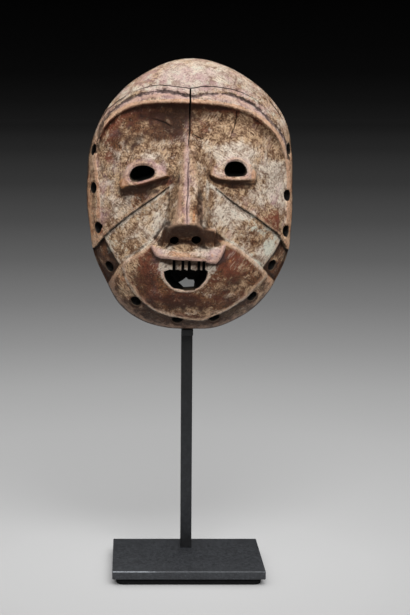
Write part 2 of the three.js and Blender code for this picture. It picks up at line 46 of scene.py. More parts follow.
# The mask, in millimetres. Points are [x, z] from the front, and depths are measured forward from its flat back.
mask = {
    "middle": (1, 203),
    "rim": 6, "crown": 28, "roundSide": 2.5, "roundTop": 4.6, "power": 0.6, "powerTop": 0.55,
    # cells of the front and the back, the share of the back's cells in the hollow, and how the hand wavered
    "frontCells": 276, "backCells": 92, "hollowCells": 0.88, "edgeStep": 0.38, "unsteady": (0.35, 0.1),
    "halfWidth": 55, "frontEdge": 0.9, "wallSteps": [(0.72, 0), (0.42, 0), (0.16, 0), (0.04, 0.35)], "backInset": 1.2,
    "outline": [
        [3, 272.6], [16, 269.9], [31.8, 261.7], [42.3, 252.7], [50.4, 241], [54.4, 222], [54.8, 205],
        [54.5, 186], [53, 171.6], [47.2, 157.7], [43.6, 151.3], [35.7, 142.2], [25.2, 135.3], [14, 131],
        [1, 130.4], [-12, 131.1], [-25.4, 135.3], [-36, 143.3], [-43.9, 157.2], [-50, 171.6],
        [-52.1, 186], [-53.3, 209.5], [-51.7, 226.2], [-46.4, 240.8], [-35.9, 255.2], [-23, 265.1],
        [-9, 271.2]],
    "browCrest": [
        [-48.9, 225], [-46.6, 237.6], [-41.2, 245], [-31, 252.2], [-20.6, 255.7], [-10.5, 255.8],
        [-0.4, 253.3], [9.7, 254.3], [20, 254.1], [30.3, 249.9], [40.9, 241.8], [46.3, 235.7],
        [50.5, 229.5], [52.5, 221]],
    "browEdge": [
        [-48.4, 221], [-47.4, 229.5], [-44.4, 237], [-40.8, 241.3], [-35.6, 245], [-25.7, 248.8], [-10, 249.6],
        [9.6, 248.9], [24.9, 246.2], [34.2, 242], [43.6, 233.8], [48.9, 223.6], [50.8, 214]],
    "cheekLeft": [[-49.5, 173.5], [-41.1, 184], [-25.6, 196.7], [-11.3, 206.9]],
    "cheekRight": [[13.2, 206.6], [25.5, 196.9], [36.9, 189.8], [46.4, 181.6], [52.2, 172.5]],
    "bandLeft": [[-42.2, 152], [-41.2, 157], [-38.4, 162.5], [-34.9, 167], [-20.4, 177.9], [-12, 189]],
    "bandRight": [[13.5, 181], [23.5, 176.3], [33.9, 168], [47.2, 154.8]],
    "muzzleLow": [
        [-34.9, 165.5], [-31.8, 156.4], [-20.3, 143.3], [-9.8, 139], [5.9, 136.4], [16.4, 140.1],
        [29.4, 148.5], [41, 160]],
    "faceSideLeft": [[-45.9, 186], [-46.6, 205]],
    "faceSideRight": [[51.2, 205], [50.8, 178]],
    "underNose": [[13, 186], [-13, 188]],
    "lineAbove": [
        [-29, 254.8], [-25.6, 256.6], [-20.5, 258.1], [-15.5, 258.5], [-5.4, 257.4], [-0.3, 256.4],
        [7.3, 257.4], [12.4, 257.9], [22.7, 255.9], [28, 253.9], [33.2, 251.4], [41.2, 244.9]],
    "bandLeftEnd": [[-35.9, 165.6], [-37, 167.4], [-40.1, 172.6], [-43.2, 178.4]],
    "bandRightEnd": [[48.4, 179], [45.5, 173.5], [42.3, 169.4], [39.2, 165]],
    "noseLine": [[-1, 224], [-1.4, 212], [-1.9, 199], [-2.2, 187]], "noseLineDeep": 0.6,
    "browRise": 2, "browFade": (214, 234), "groove": 1.3, "grooveWide": 1.5, "grooveLower": 0.6,
    "underBrow": 4.6, "underFade": 16, "underStart": 0.02, "facePlain": 0.9,
    "sideStart": 0.74, "sideEnd": 0.9, "sideKeep": 0.2, "cheekCut": 0.7,
    "bandDeep": 2.6, "bandStart": 0.2, "bandFull": 0.48, "bandEndDrop": 1.9, "muzzleRise": 2, "noseBury": 0.6,
    "facets": (17, 1.3), "knifeMarks": (5.2, 0.3), "markMean": 0.35,  # size and height of the tool marks
    # the nose from its underside to the bridge
    "noseHeights": [179.6, 183, 189.4, 208, 226, 234],
    "noseLeftFoot": [-15.6, -15.2, -12.8, -9.6, -5.5, -1.6],
    "noseLeftCrest": [-14, -12.4, -7.2, -4.2, -2.8, -0.9],
    "noseRightCrest": [12.4, 9.6, 1.8, 1.7, 1.6, -0.1],
    "noseRightFoot": [13.6, 13.6, 12.6, 9, 4.5, 0.4],
    "noseDepths": [36.5, 41, 47.5, 41, 35.5, 31.5],
    "wingDrop": 4.4, "wingPlace": (-2.7, 4.8, 13), "wingFade": (198, 189),
    "noseShade": [
        [-7.4, 188.9], [2.3, 188.9], [6, 187.4], [12.6, 184.8], [18.5, 180], [14, 177], [8, 175.6], [-2.5, 178],
        [-11, 175.6], [-17, 177], [-19, 180.8], [-14.6, 185.6], [-10, 188]],
    "lip": [
        [-20.6, 178.1], [-19.3, 174.9], [-17.6, 172.3], [-15, 170.8], [-10.6, 170.2], [-2.7, 169.8], [5, 169.1],
        [10, 168.1], [13.2, 168], [15.5, 170.3], [17.3, 174], [18.4, 177.7], [12.5, 180.8], [-13.5, 180.8]],
    "lipTop": [
        [-19.5, 177.2], [-15.5, 176], [-10.4, 174.9], [-1.8, 174.3], [7.4, 174.9], [13.5, 176.1], [18, 177.6]],
    "lipMiddle": (-1.2, 173.6), "lipDepth": 39.4, "lipBend": 0.011, "lipLean": 0.28, "lipLow": 170, "philtrum": 1.5,
    "teeth": [[-15.6, 165.4], [-9, 164], [12.4, 162.4], [13.4, 166.6], [7.6, 169.4], [-15.6, 169.6]],
    "teethDepth": 35, "teethEnds": 2.8, "toothCuts": [-8.2, -3.7, -0.4, 4.5, 7], "toothCutWide": 1.6,
    "toothCutFloor": 24, "toothCutLow": 163, "toothCutTop": 169.6,
    "mouthMiddle": (-2.1, 163.6), "mouthHalf": 11.4, "mouthDrop": 9.95, "mouthRise": 0.9, "bead": 0.7,
    "breach": [
        [-5.5, 156.4], [-3.4, 157.5], [-1.3, 159.1], [-0.2, 158], [2.6, 157.8], [3.2, 156.4],
        [2.9, 153.8], [-2.4, 153.4]],
    "lids": [
        [[-35.8, 205], [-34.8, 212], [-32.2, 218], [-27.4, 221.8], [-21.6, 222.4], [-17.2, 219.8],
         [-13.6, 215.4], [-10.6, 211.6], [-12.4, 208.4], [-24, 204.2], [-35.2, 201.8]],
        [[9.6, 212.8], [11.6, 217.8], [15, 222], [20.4, 224], [25.8, 223.4], [30.2, 220.6],
         [33, 215.6], [34.2, 209.6], [33, 205.4], [20, 206.4], [14, 208.4], [10.6, 210.6]]],
    "lidFeet": [
        [[-37.6, 203], [-24, 206.2], [-11, 211.4]],
        [[10, 211.8], [14, 209.8], [20, 208.5], [35, 207.6]]],
    "lidSlope": (4.6, 3.6),
    "eyeHoles": [
        [[-31.5, 212.3], [-30, 215.9], [-27, 217.7], [-22.9, 218], [-19.9, 217], [-18.1, 215],
         [-19.4, 212.2], [-22.9, 210.7], [-27, 209.5], [-30, 209.7]],
        [[17.2, 214.7], [17.5, 217.2], [19.2, 219.3], [22, 220], [25.1, 219.7], [27.4, 218.2],
         [28.8, 215.7], [28.5, 213.4], [26.2, 212.4], [22.1, 212.3], [18.5, 212.7]]],
    "lidProud": 0.3, "lidRise": 3.4, "lidThin": 0.25, "lidSpan": 17, "lidRidge": 0.3, "lidSink": 0.6,
    # how the holes narrow inward: depth, size, lift
    "eyeSteps": [(17, 0.6, 0.4), (28, 0.84, 0.4), (32.5, 0.98, 0.1), (34.5, 1.02, 0)],
    "mouthSteps": [(17, 0.72, 0), (23, 0.84, -0.3), (26.5, 0.97, -0.1), (28, 1, 0)],
    "nostrils": [[-8.3, 180.1], [2.8, 180.4]], "nostrilRadius": 2.4, "nostrilDepth": 39, "nostrilDeep": 8,
    "rimHoleRadius": 3, "rimHoleDeep": 17, "rimHoleInward": 0.87, "rimHoleBackward": 0.5, "rimHoleDish": 0.6,
    # direction from the middle in degrees, and how far out toward the edge
    "rimHoles": [
        [24.5, 0.965], [156, 0.965], [176.8, 0.933], [200.2, 0.92], [222.3, 0.915], [243, 0.885],
        [264.1, 0.918], [280.9, 0.911], [300.9, 0.904], [318.6, 0.9], [338.4, 0.946], [358.7, 0.941]],
    "split": [[-0.3, 231], [0.2, 246], [0.35, 256.3], [-0.5, 256.8], [-0.85, 248], [-0.6, 240]],
    "splitFloor": 22, "breachFloor": 1, "pastFront": 60,
    # small drying cracks: points, width, depth
    "cracks": [
        ([[-19.6, 241.3], [-15.6, 240.3], [-12.5, 239.3], [-9.5, 237.3]], 0.8, 0.7),
        ([[23.6, 247], [23.5, 240.8], [22.4, 236.8], [20.9, 233.8]], 0.8, 0.7),
        ([[0.6, 233.8], [3.6, 232.3], [7.2, 230.8]], 0.8, 0.6),
        ([[-0.4, 240], [-0.7, 233], [-1, 228]], 0.7, 0.5),
        ([[-1, 223], [-1.5, 208], [-1.9, 198], [-2.2, 187.5]], 0.6, 0.4),
        ([[41.5, 251], [43.2, 248.6], [46.4, 244.4], [48.6, 240.3]], 0.9, 1),
        ([[-46.4, 241], [-42.2, 246.4], [-36.9, 250.6], [-31, 254]], 0.8, 0.5)],
    "hollowEdge": 0.87, "hollowDepth": 13, "hollowRound": 6,
}
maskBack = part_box("mask")[1].y / mm  # the flat back lies here


def ease(a, b, t):  # 0 before a, 1 after b, and 3s^2 - 2s^3 between
    s = np.clip((t - a) / (b - a), 0, 1)
    return s * s * (3 - 2 * s)


def cubic(t, a, b, slopeA, slopeB):  # from a to b with the slopes given at both ends
    first, last = 2 * t**3 - 3 * t**2 + 1, 3 * t**2 - 2 * t**3
    return first * a + (t**3 - 2 * t**2 + t) * slopeA + last * b + (t**3 - t**2) * slopeB


def through(points):  # a smooth curve through points, read at x: a cubic on each stretch, level past the ends
    px, pz = np.array(points, float).T
    last = len(px) - 1
    before, after = np.maximum(np.arange(last + 1) - 1, 0), np.minimum(np.arange(last + 1) + 1, last)
    slope = (pz[after] - pz[before]) / (px[after] - px[before])

    def curve(x):
        x = np.clip(x, px[0], px[-1])
        i = np.clip(np.searchsorted(px, x, side="right") - 1, 0, last - 1)
        wide = px[i + 1] - px[i]
        return cubic((x - px[i]) / wide, pz[i], pz[i + 1], wide * slope[i], wide * slope[i + 1])

    return curve


def radiusByAngle(points, middle):  # the outline as a distance from the middle, wrapped once round
    off = np.array(points, float) - middle
    polar = np.stack([np.arctan2(off[:, 1], off[:, 0]), np.hypot(off[:, 0], off[:, 1])], 1)
    polar = polar[np.argsort(polar[:, 0])]
    turn = [2 * np.pi, 0]
    return through(np.vstack([polar[-3:] - turn, polar, polar[:3] + turn]))


def along(line, a, b):  # points of a carved line from x = a to x = b, closer together toward its ends
    x = a + (b - a) * (1 - np.cos(np.linspace(0, np.pi, 25))) / 2
    return np.stack([x, through(line)(x)], 1)


def whole(name):  # points over the full length of one of the mask's lines
    return along(mask[name], mask[name][0][0], mask[name][-1][0])


def smoothRound(points, count=72):  # a closed curve through points: a cubic on each stretch
    p = np.array(points, float)
    slope = (np.roll(p, -1, 0) - np.roll(p, 1, 0)) / 2
    s = np.linspace(0, len(p), count, endpoint=False)
    i, t = s.astype(int), (s % 1)[:, None]
    following = (i + 1) % len(p)
    return cubic(t, p[i], p[following], slope[i], slope[following])


def cellOf(u, v):  # the square of a lattice that a point is in, and the place in it
    i, j = np.floor(u).astype(int), np.floor(v).astype(int)
    return i, j, u - i, v - j


def fromCorners(at, a, b):  # the values at the corners of a square, each by its nearness
    return (at(0, 0) * (1 - a) + at(1, 0) * a) * (1 - b) + (at(0, 1) * (1 - a) + at(1, 1) * a) * b


def cloud(x, z, size, seed):  # smooth noise from -1 to 1: random values on a square lattice, eased between
    lattice = np.random.default_rng(seed).uniform(-1, 1, (61, 61))
    i, j, u, v = cellOf(x / size, z / size)
    return fromCorners(lambda di, dj: lattice[(i + di) % 61, (j + dj) % 61], ease(0, 1, u), ease(0, 1, v))


def unsteady(x, z):  # where the maker's hand really cut: the point moved a little by noise
    slow, quick = mask["unsteady"]
    return (x + slow * cloud(x, z, 6, 6) + quick * cloud(x, z, 2.2, 7),
            z + slow * cloud(x, z, 6, 8) + quick * cloud(x, z, 2.2, 9))


def scallops(x, z, size, seed):  # cuts of a knife: the distance to the nearest of scattered points, 0 to about 1
    spots = np.random.default_rng(seed).uniform(0.15, 0.85, (2, 53, 53))
    i, j, u, v = cellOf(x / size, z / size)
    best = np.full(x.shape, 9.0)
    for di, dj in np.ndindex(3, 3):
        right, up = spots[:, (i + di - 1) % 53, (j + dj - 1) % 53]
        best = np.minimum(best, (u - di + 1 - right)**2 + (v - dj + 1 - up)**2)
    return np.sqrt(best)


def offSegment(x, z, start, run):  # the nearest place along a straight piece, 0 to 1, and its distance squared
    (ax, az), (dx, dz) = start, run
    t = np.clip(((x - ax) * dx + (z - az) * dz) / (dx * dx + dz * dz), 0, 1)
    return t, (x - ax - t * dx)**2 + (z - az - t * dz)**2


def inside(points, x, z, margin=8):  # distance to a closed outline, positive inside, and -margin far outside
    p = np.array(points, float)
    low, high = p.min(0) - margin, p.max(0) + margin
    close = (x > low[0]) & (x < high[0]) & (z > low[1]) & (z < high[1])
    cx, cz = x[close], z[close]
    best, odd = np.full(cx.shape, margin**2, float), np.zeros(cx.shape, bool)
    for start, end in zip(p, np.roll(p, -1, 0)):
        (ax, az), (dx, dz) = start, end - start
        best = np.minimum(best, offSegment(cx, cz, start, end - start)[1])
        if dz:
            odd ^= ((az > cz) != (end[1] > cz)) & (cx < ax + (cz - az) * dx / dz)
    result = np.full(x.shape, -float(margin))
    result[close] = np.where(odd, 1, -1) * np.sqrt(best)
    return result


def offLine(points, x, z):  # distance to an open line, positive on its left, and the place along it, 0 to 1
    p = np.array(points, float)
    best, where, side = np.full(x.shape, 1e9), np.zeros(x.shape), np.ones(x.shape)
    for k, (start, run) in enumerate(zip(p, np.diff(p, axis=0))):
        t, far = offSegment(x, z, start, run)
        closer = far < best
        where = np.where(closer, (k + t) / (len(p) - 1), where)
        side = np.where(closer, np.sign(run[0] * (z - start[1]) - run[1] * (x - start[0])), side)
        best = np.minimum(best, far)
    return side * np.sqrt(best), where


def nearestOf(distances):  # of several signed distances, the one nearest to 0 at each point
    distances = np.array(distances)
    return np.take_along_axis(distances, np.abs(distances).argmin(0)[None], 0)[0]


def raised(depth, target, share):  # brought up to the target where the surface is lower, by a share
    return depth + share * np.maximum(target - depth, 0)


def carved(depth, target, share):  # cut down to the target where the surface is higher
    return depth - share * np.maximum(depth - target, 0)


maskRadius = radiusByAngle(mask["outline"], mask["middle"])
browEdgeAt, browCrestAt = through(mask["browEdge"]), through(mask["browCrest"])


def maskRegions():  # closed outlines of the carved parts; the bands run on past the rim and under the nose
    m = mask
    left, right, low = m["cheekLeft"], m["cheekRight"], m["muzzleLow"]
    return {
        "face": np.vstack([
            whole("browEdge"), m["faceSideRight"], along(right, right[-1][0] - 6, right[0][0]),
            along(left, left[-1][0], left[0][0] + 5.5), m["faceSideLeft"]]),
        "brow": np.vstack([whole("browEdge"), whole("browCrest")[::-1]]),
        "bandLeft": np.vstack([along(m["bandLeft"], -60, -7), [[-6, 211]], along(left, left[-1][0], -60)]),
        "bandRight": np.vstack([along(m["bandRight"], 6, 60), along(right, 60, right[0][0]), [[8, 211]]]),
        "muzzle": np.vstack([
            whole("muzzleLow"), along(m["bandRight"], low[-1][0] - 0.5, 13.5), m["underNose"],
            along(m["bandLeft"], -14, low[0][0] + 0.7)]),
    }


regions = maskRegions()


def place(x, z):  # 0 in the middle to 1 on the outline, and how far the point looks upward
    dx, dz = x - mask["middle"][0], z - mask["middle"][1]
    r = np.hypot(dx, dz)
    return r / maskRadius(np.arctan2(dz, dx)), np.maximum(0, dz / np.maximum(r, 1e-6))


def domeDepth(x, z):  # rim + crown (1 - ring^a)^b, with a and b eased from the sides to the top
    ring, up = place(x, z)
    lift = up**1.5
    a = mask["roundSide"] + (mask["roundTop"] - mask["roundSide"]) * lift
    b = mask["power"] + (mask["powerTop"] - mask["power"]) * lift
    return mask["rim"] + mask["crown"] * np.maximum(0, 1 - np.minimum(1, ring)**a)**b, ring


def noseParts(x, z):  # the nose's crest depth and its share across, 0 at either foot and 1 on the crest
    m = mask
    middle, near, far = m["wingPlace"]  # the wings reach lower than the tip
    z = z + m["wingDrop"] * ease(near, far, np.abs(x - middle)) * ease(*m["wingFade"], z)
    at = lambda name: np.interp(z, m["noseHeights"], m[name])
    left = (x - at("noseLeftFoot")) / (at("noseLeftCrest") - at("noseLeftFoot"))
    right = (at("noseRightFoot") - x) / (at("noseRightFoot") - at("noseRightCrest"))
    share = np.minimum(left, right)
    share = np.clip(np.where(share > 0.75, 1 - 0.25 * np.exp(3 - 4 * np.maximum(share, 0.75)), share), 0, 1)
    here = (z > m["noseHeights"][0]) & (z < m["noseHeights"][-1])
    return at("noseDepths"), np.where(here, share, 0)


def smoothTop(a, b, width):  # the higher of two depths, with a hollow corner of the given width between them
    share = np.clip(0.5 + 0.5 * (a - b) / width, 0, 1)
    return b + (a - b) * share + width * share * (1 - share)


def lidHeight(which, x, z):  # above the foot line of an eyelid, as a share of its underside, narrower toward the nose
    foot = mask["lidFeet"][which]
    outer = np.abs(x - foot[which - 1][0]) / abs(foot[-1][0] - foot[0][0])
    return (z - through(foot)(x)) / (mask["lidSlope"][which] * (0.5 + 0.5 * np.minimum(1, outer)))


def lidRise(which, x, z):  # how proud an eyelid stands: a slope from its foot line, then thinner toward the top
    m = mask
    high = lidHeight(which, x, z)
    over = ease(0, 1, high) * (1 - (1 - m["lidThin"]) * ease(1, m["lidSpan"] / m["lidSlope"][which], high))
    return m["lidProud"] + m["lidRise"] * over


def fromMouth(x, z):  # 1 on the oval of the mouth
    mx, mz = mask["mouthMiddle"]
    return np.hypot((x - mx) / mask["mouthHalf"], (z - mz) / mask["mouthDrop"])


def fromToothCut(x):  # the distance to the nearest cut between two teeth
    return np.min([np.abs(x - cut) for cut in mask["toothCuts"]], axis=0)


def frontDepth(x, z):  # the carved front as depth over x and z: each part is raised or carved across its edge
    m = mask
    shell, ring = domeDepth(x, z)
    inner = ease(1, 0.88, ring)
    jx, jz = unsteady(x, z)
    (wide, high), (small, low), mean = m["facets"], m["knifeMarks"], m["markMean"]
    facets = high * (scallops(jx, jz, wide, 2)**2 - mean) + 0.2 * cloud(x, z, 9, 3)
    tooled = low * (scallops(jx, jz * 0.6, small, 5)**2 - mean) + 0.12 * cloud(x, z, 3, 4)
    shell = shell + inner * (facets + 0.6 * tooled)
    depth = shell

    browIn = inside(regions["brow"], jx, jz)
    browRise = m["browRise"] * ease(*m["browFade"], z) * (0.55 + 0.45 * ease(0, 3.5, browCrestAt(x) - z))
    depth = raised(depth, shell + browRise, ease(-1.4, 0.1, browIn))

    below = np.maximum(0, browEdgeAt(x) - z)
    sides = 1 - (1 - m["sideKeep"]) * ease(m["sideStart"], m["sideEnd"], ring)
    recess = m["underStart"] + (1 - m["underStart"]) * ease(-2, 8, below)
    face = shell - m["facePlain"] - m["underBrow"] * recess * np.exp(-(below / m["underFade"])**2) * sides
    face = face + inner * (0.7 * tooled + 0.08 * cloud(x, z, 1.8, 11))
    depth = carved(depth, face, ease(0, 0.8, inside(regions["face"], jx, jz)))

    for name in ("bandLeft", "bandRight"):
        deeper = m["bandDeep"] - m["facePlain"]
        strip = shell - m["facePlain"] - deeper * ease(m["bandStart"], m["bandFull"], ring)
        strip = strip + 0.1 * cloud(x, z * 0.7, 2.4, 13)
        strip = strip - m["bandEndDrop"] * ease(-0.4, 0.6, offLine(m[name + "End"], jx, jz)[0])
        depth = carved(depth, strip, ease(-0.5, 0.6, inside(regions[name], jx, jz)))
    for name in ("cheekLeft", "cheekRight"):
        cutFar, where = offLine(whole(name), jx, jz)
        cut = ease(1.1, 0.1, np.abs(cutFar + 0.4)) * ease(0, 0.05, where) * ease(1, 0.95, where)
        depth = depth - m["cheekCut"] * cut

    muzzleIn = inside(regions["muzzle"], jx, jz)
    depth = raised(depth, shell + m["muzzleRise"] + inner * 0.5 * tooled, ease(-0.7, 0.9, muzzleIn))

    grooveFar = np.abs(offLine(whole("browCrest"), jx, jz)[0] + m["grooveLower"])
    depth = depth - m["groove"] * ease(1, 0.1, grooveFar / (m["grooveWide"] * (1 + 0.25 * cloud(x, z, 4, 12))))
    for points, wide, deep in [(m["lineAbove"], 1.0, 0.45)] + m["cracks"]:
        far, where = offLine(points, jx, jz)
        taper = np.sqrt(np.maximum(0, 1 - (2 * where - 1)**2))
        depth = depth - deep * taper * ease(wide, 0, np.abs(far))

    for k, (lid, hole) in enumerate(zip(m["lids"], m["eyeHoles"])):
        lidIn, holeIn = inside(smoothRound(lid, 90), jx, jz), inside(smoothRound(hole), x, z)
        soft = 0.9 + 1.6 * ease(4, 12, z - through(m["lidFeet"][k])(x))
        depth = raised(depth, face + lidRise(k, x, z), ease(-0.5, 1, lidIn / soft))
        dent = 0.25 * np.exp(-((lidIn - 1.6) / 0.8)**2) * ease(0.8, 1.6, lidHeight(k, x, z))
        ridge = m["lidRidge"] * np.exp(-((holeIn + 1.3) / 0.7)**2) - dent
        depth = depth + ridge * ease(-1, 1, lidIn) - m["lidSink"] * ease(-0.9, 0.2, holeIn) * ease(-4, -2, lidIn)

    crest, share = noseParts(x + 0.5 * cloud(x, z, 7, 16) * ease(186, 192, z), z)
    foot = np.minimum(depth, crest) - m["noseBury"]
    nose = foot + (crest - foot) * share + 0.25 * cloud(x, z, 4.5, 14) + 0.5 * tooled
    depth = np.where(share > 0, smoothTop(nose, depth, 0.9 + 2.4 * ease(182, 192, z)), depth)
    noseLine = offLine(m["noseLine"], x, z)[0]
    depth = depth - m["noseLineDeep"] * ease(0.8, 0, np.abs(noseLine)) * ease(189, 190, z) * ease(232, 226, z)

    mx, mz = m["lipMiddle"]
    crescent = z - through(m["lipTop"])(x)
    lip = m["lipDepth"] - m["lipBend"] * (x - mx)**2 - m["lipLean"] * (z - mz)
    lip = lip - 1.1 * ease(2.6, 0, z - m["lipLow"]) - m["philtrum"] * ease(-0.3, 1.4, crescent)
    depth = raised(depth, lip, ease(-0.5, 0.7, inside(m["lip"], jx, jz)))

    toothIn = inside(m["teeth"], x, z)
    teeth = m["teethDepth"] - 0.6 * ease(1.7, 0.5, fromToothCut(x)) - 0.12 * np.maximum(0, 167 - z)**1.5
    teeth = teeth + m["teethEnds"] * ease(6, 12, np.abs(x - mx))
    depth = carved(depth, teeth, ease(-0.45, 0.45, toothIn))

    mz, out = m["mouthMiddle"][1], fromMouth(x, z)
    bead = m["bead"] * np.exp(-((out - 1.05) * 22)**2) - 0.4 * ease(1.02, 0.98, out)
    depth = depth + bead * ease(mz + 0.5, mz - 2.5, z)

    reach = m["rimHoleRadius"]
    for x0, z0 in rimHoleSpots():
        depth = depth - m["rimHoleDish"] * ease(reach + 1.1, reach - 0.4, np.hypot(x - x0, z - z0))
    return np.maximum(depth, m["rim"] * m["frontEdge"])


def nearestEdge(x, z):  # the signed distance to the nearest of the carved edges
    m = mask
    jx, jz = unsteady(x, z)
    edges = [inside(regions[name], jx, jz) for name in ("face", "bandLeft", "bandRight", "muzzle")]
    edges += [inside(smoothRound(lid, 90), jx, jz) for lid in m["lids"]]
    edges += [inside(m["lip"], jx, jz), inside(m["teeth"], x, z)]
    edges += [offLine(line, jx, jz)[0] for line in (whole("browCrest"), m["lineAbove"])]
    return nearestOf(edges)


def alongEdges(x, z):  # points near a carved edge slide onto lines at even distances, so the mesh follows it
    step, tiny = mask["edgeStep"], 0.05
    far = nearestEdge(x, z)
    gx = (nearestEdge(x + tiny, z) - nearestEdge(x - tiny, z)) / (2 * tiny)
    gz = (nearestEdge(x, z + tiny) - nearestEdge(x, z - tiny)) / (2 * tiny)
    move = 0.85 * (step * np.round(far / step) - far) * ease(2.2, 1.4, np.abs(far))
    move = move / np.maximum(1, gx**2 + gz**2) * ease(1, 0.97, place(x, z)[0])
    return x + move * np.clip(gx, -1, 1), z + move * np.clip(gz, -1, 1)


def rimHoleSpots():  # the middles of the holes, each in its direction and ring
    degrees, ring = np.array(mask["rimHoles"]).T
    angle = np.radians((degrees + 180) % 360 - 180)
    return np.stack(atRing(ring, angle), 1)


def hollowDepth(x, z):  # the dish in the back: deep * sqrt(1 - (ring / edge)^6), with the marks of a gouge
    ring, _ = place(x, z)
    share = np.minimum(1, ring / mask["hollowEdge"])
    dish = mask["hollowDepth"] * np.sqrt(np.maximum(0, 1 - share**mask["hollowRound"]))
    marks = 0.5 * (scallops(x, z * 0.55, 5, 21) - 0.55) + 0.15 * cloud(x, z, 3, 22)
    return np.maximum(0, dish + marks * ease(0, 4, dish))


def discGrid(cells):  # a square grid bent to a disc: ring from the larger side, angle from the share along it
    line = np.linspace(-1, 1, cells + 1)
    u, v = [a.ravel() for a in np.meshgrid(line, line)]
    ring = np.maximum(np.abs(u), np.abs(v))
    flat = np.abs(u) >= np.abs(v)
    safe = lambda a: np.where(np.abs(a) < 1e-9, 1e-9, a)
    angle = np.where(flat, np.pi / 4 * v / safe(u) + np.where(u < 0, np.pi, 0),
                     np.pi / 2 - np.pi / 4 * u / safe(v) + np.where(v < 0, np.pi, 0))
    angle = (angle + np.pi) % (2 * np.pi) - np.pi
    at = np.arange((cells + 1)**2).reshape(cells + 1, cells + 1)
    quads = np.stack([at[:-1, :-1], at[:-1, 1:], at[1:, 1:], at[1:, :-1]], -1).reshape(-1, 4)
    border = np.concatenate([at[0, :-1], at[:-1, -1], at[-1, :0:-1], at[:0:-1, 0]])  # once round, anticlockwise
    return ring, angle, quads, border


def spread(ring):  # rings closer together toward the edge: s + (sin(s pi/2) - s) s^4
    return ring + (np.sin(ring * np.pi / 2) - ring) * ring**4


def atRing(ring, angle):  # a place from its ring, 1 on the outline, and its direction
    r = ring * maskRadius(angle)
    return mask["middle"][0] + r * np.cos(angle), mask["middle"][1] + r * np.sin(angle)


def maskShell():  # front, side wall and back of the mask as one closed mesh
    ring, angle, frontQuads, border = discGrid(mask["frontCells"])
    x, z = alongEdges(*atRing(spread(ring), angle))
    front = np.stack([x, maskBack - frontDepth(x, z), z], 1)
    wallAngle = angle[border]
    walls = []
    for share, inset in mask["wallSteps"]:
        wx, wz = atRing(1 - inset / mask["halfWidth"], wallAngle)
        walls.append(np.stack([wx, maskBack - mask["rim"] * mask["frontEdge"] * share + 0 * wx, wz], 1))
    ring, angle, backQuads, backBorder = discGrid(mask["backCells"])
    split, edge = mask["hollowCells"], mask["hollowEdge"]
    inner = edge * spread(np.minimum(1, ring / split))
    outer = edge + (1 - mask["backInset"] / mask["halfWidth"] - edge) * np.maximum(0, ring - split) / (1 - split)
    x, z = atRing(np.where(ring < split, inner, outer), angle)
    back = np.stack([x, maskBack - hollowDepth(x, z), z], 1)
    count = len(border)
    backStart = len(front) + len(walls) * count
    rows = [border] + [len(front) + k * count + np.arange(count) for k in range(len(walls))]
    faces = [np.stack([a, b, np.roll(b, -1), np.roll(a, -1)], 1) for a, b in zip(rows, rows[1:])]
    coarse = backStart + backBorder  # three cells of the last wall row meet one cell of the back
    fan = np.hstack([rows[-1].reshape(-1, 3), np.roll(rows[-1], -3).reshape(-1, 3)[:, :1]])
    following = np.roll(coarse, -1)
    tris = [[coarse, fan[:, 1], fan[:, 0]], [coarse, fan[:, 2], fan[:, 1]], [following, fan[:, 2], coarse],
            [following, fan[:, 3], fan[:, 2]]]
    quads = np.vstack([frontQuads, *faces, backQuads[:, ::-1] + backStart])
    return np.vstack([front, *walls, back]), quads.tolist() + np.hstack(tris).T.tolist()


def linked(name, data):  # a new object in the scene
    made = bpy.data.objects.new(name, data)
    bpy.context.scene.collection.objects.link(made)
    return made


def meshOf(name, verts, faces):  # vertices in millimetres, faces as lists of vertex numbers
    mesh = bpy.data.meshes.new(name)
    mesh.from_pydata((np.asarray(verts) * mm).tolist(), [], faces)
    return linked(name, mesh)


def stack(rings):  # a closed body from equal rings, joined by quads, with a flat face at each end
    rings = np.asarray(rings, float)
    levels, count = rings.shape[:2]
    at = np.arange(levels * count).reshape(levels, count)
    quads = np.stack([at[:-1], np.roll(at[:-1], -1, 1), np.roll(at[1:], -1, 1), at[1:]], -1).reshape(-1, 4)
    return rings.reshape(-1, 3), quads, [at[0, ::-1], at[-1]]


def joined(parts):  # several bodies as one list of vertices and faces
    verts, faces, start = [], [], 0
    for points, quads, caps in parts:
        verts.append(points)
        faces += (quads + start).tolist() + [(cap + start).tolist() for cap in caps]
        start += len(points)
    return np.vstack(verts), faces


def pit(outline, steps):  # a body over an outline, from its floor past the front; a step is depth, size, lift
    p = np.asarray(outline, float)
    middle = p.mean(0)
    if (p[:, 0] * np.roll(p[:, 1], -1) - np.roll(p[:, 0], -1) * p[:, 1]).sum() < 0:
        p = p[::-1]
    levels = []
    for depth, size, lift in (*steps, (mask["pastFront"], 1.02, 0)):
        q = middle + (p - middle) * size
        levels.append(np.stack([q[:, 0], np.full(len(q), maskBack - depth), q[:, 1] + lift], 1))
    return stack(levels)


def drill(x, z, depth, direction, radius, deep):  # a round hole through a point, along a direction
    axis = Vector(direction).normalized()
    side = axis.orthogonal().normalized()
    other = axis.cross(side)
    turn = np.linspace(0, 2 * np.pi, 28, endpoint=False)[:, None]
    middle = np.array([x, maskBack - depth, z])
    ring = radius * (np.cos(turn) * np.array(side) + np.sin(turn) * np.array(other))
    return stack([middle + ring + far * np.array(axis) for far in (-deep, -1, -0.3, 0.4, 1.2, 3, deep)])


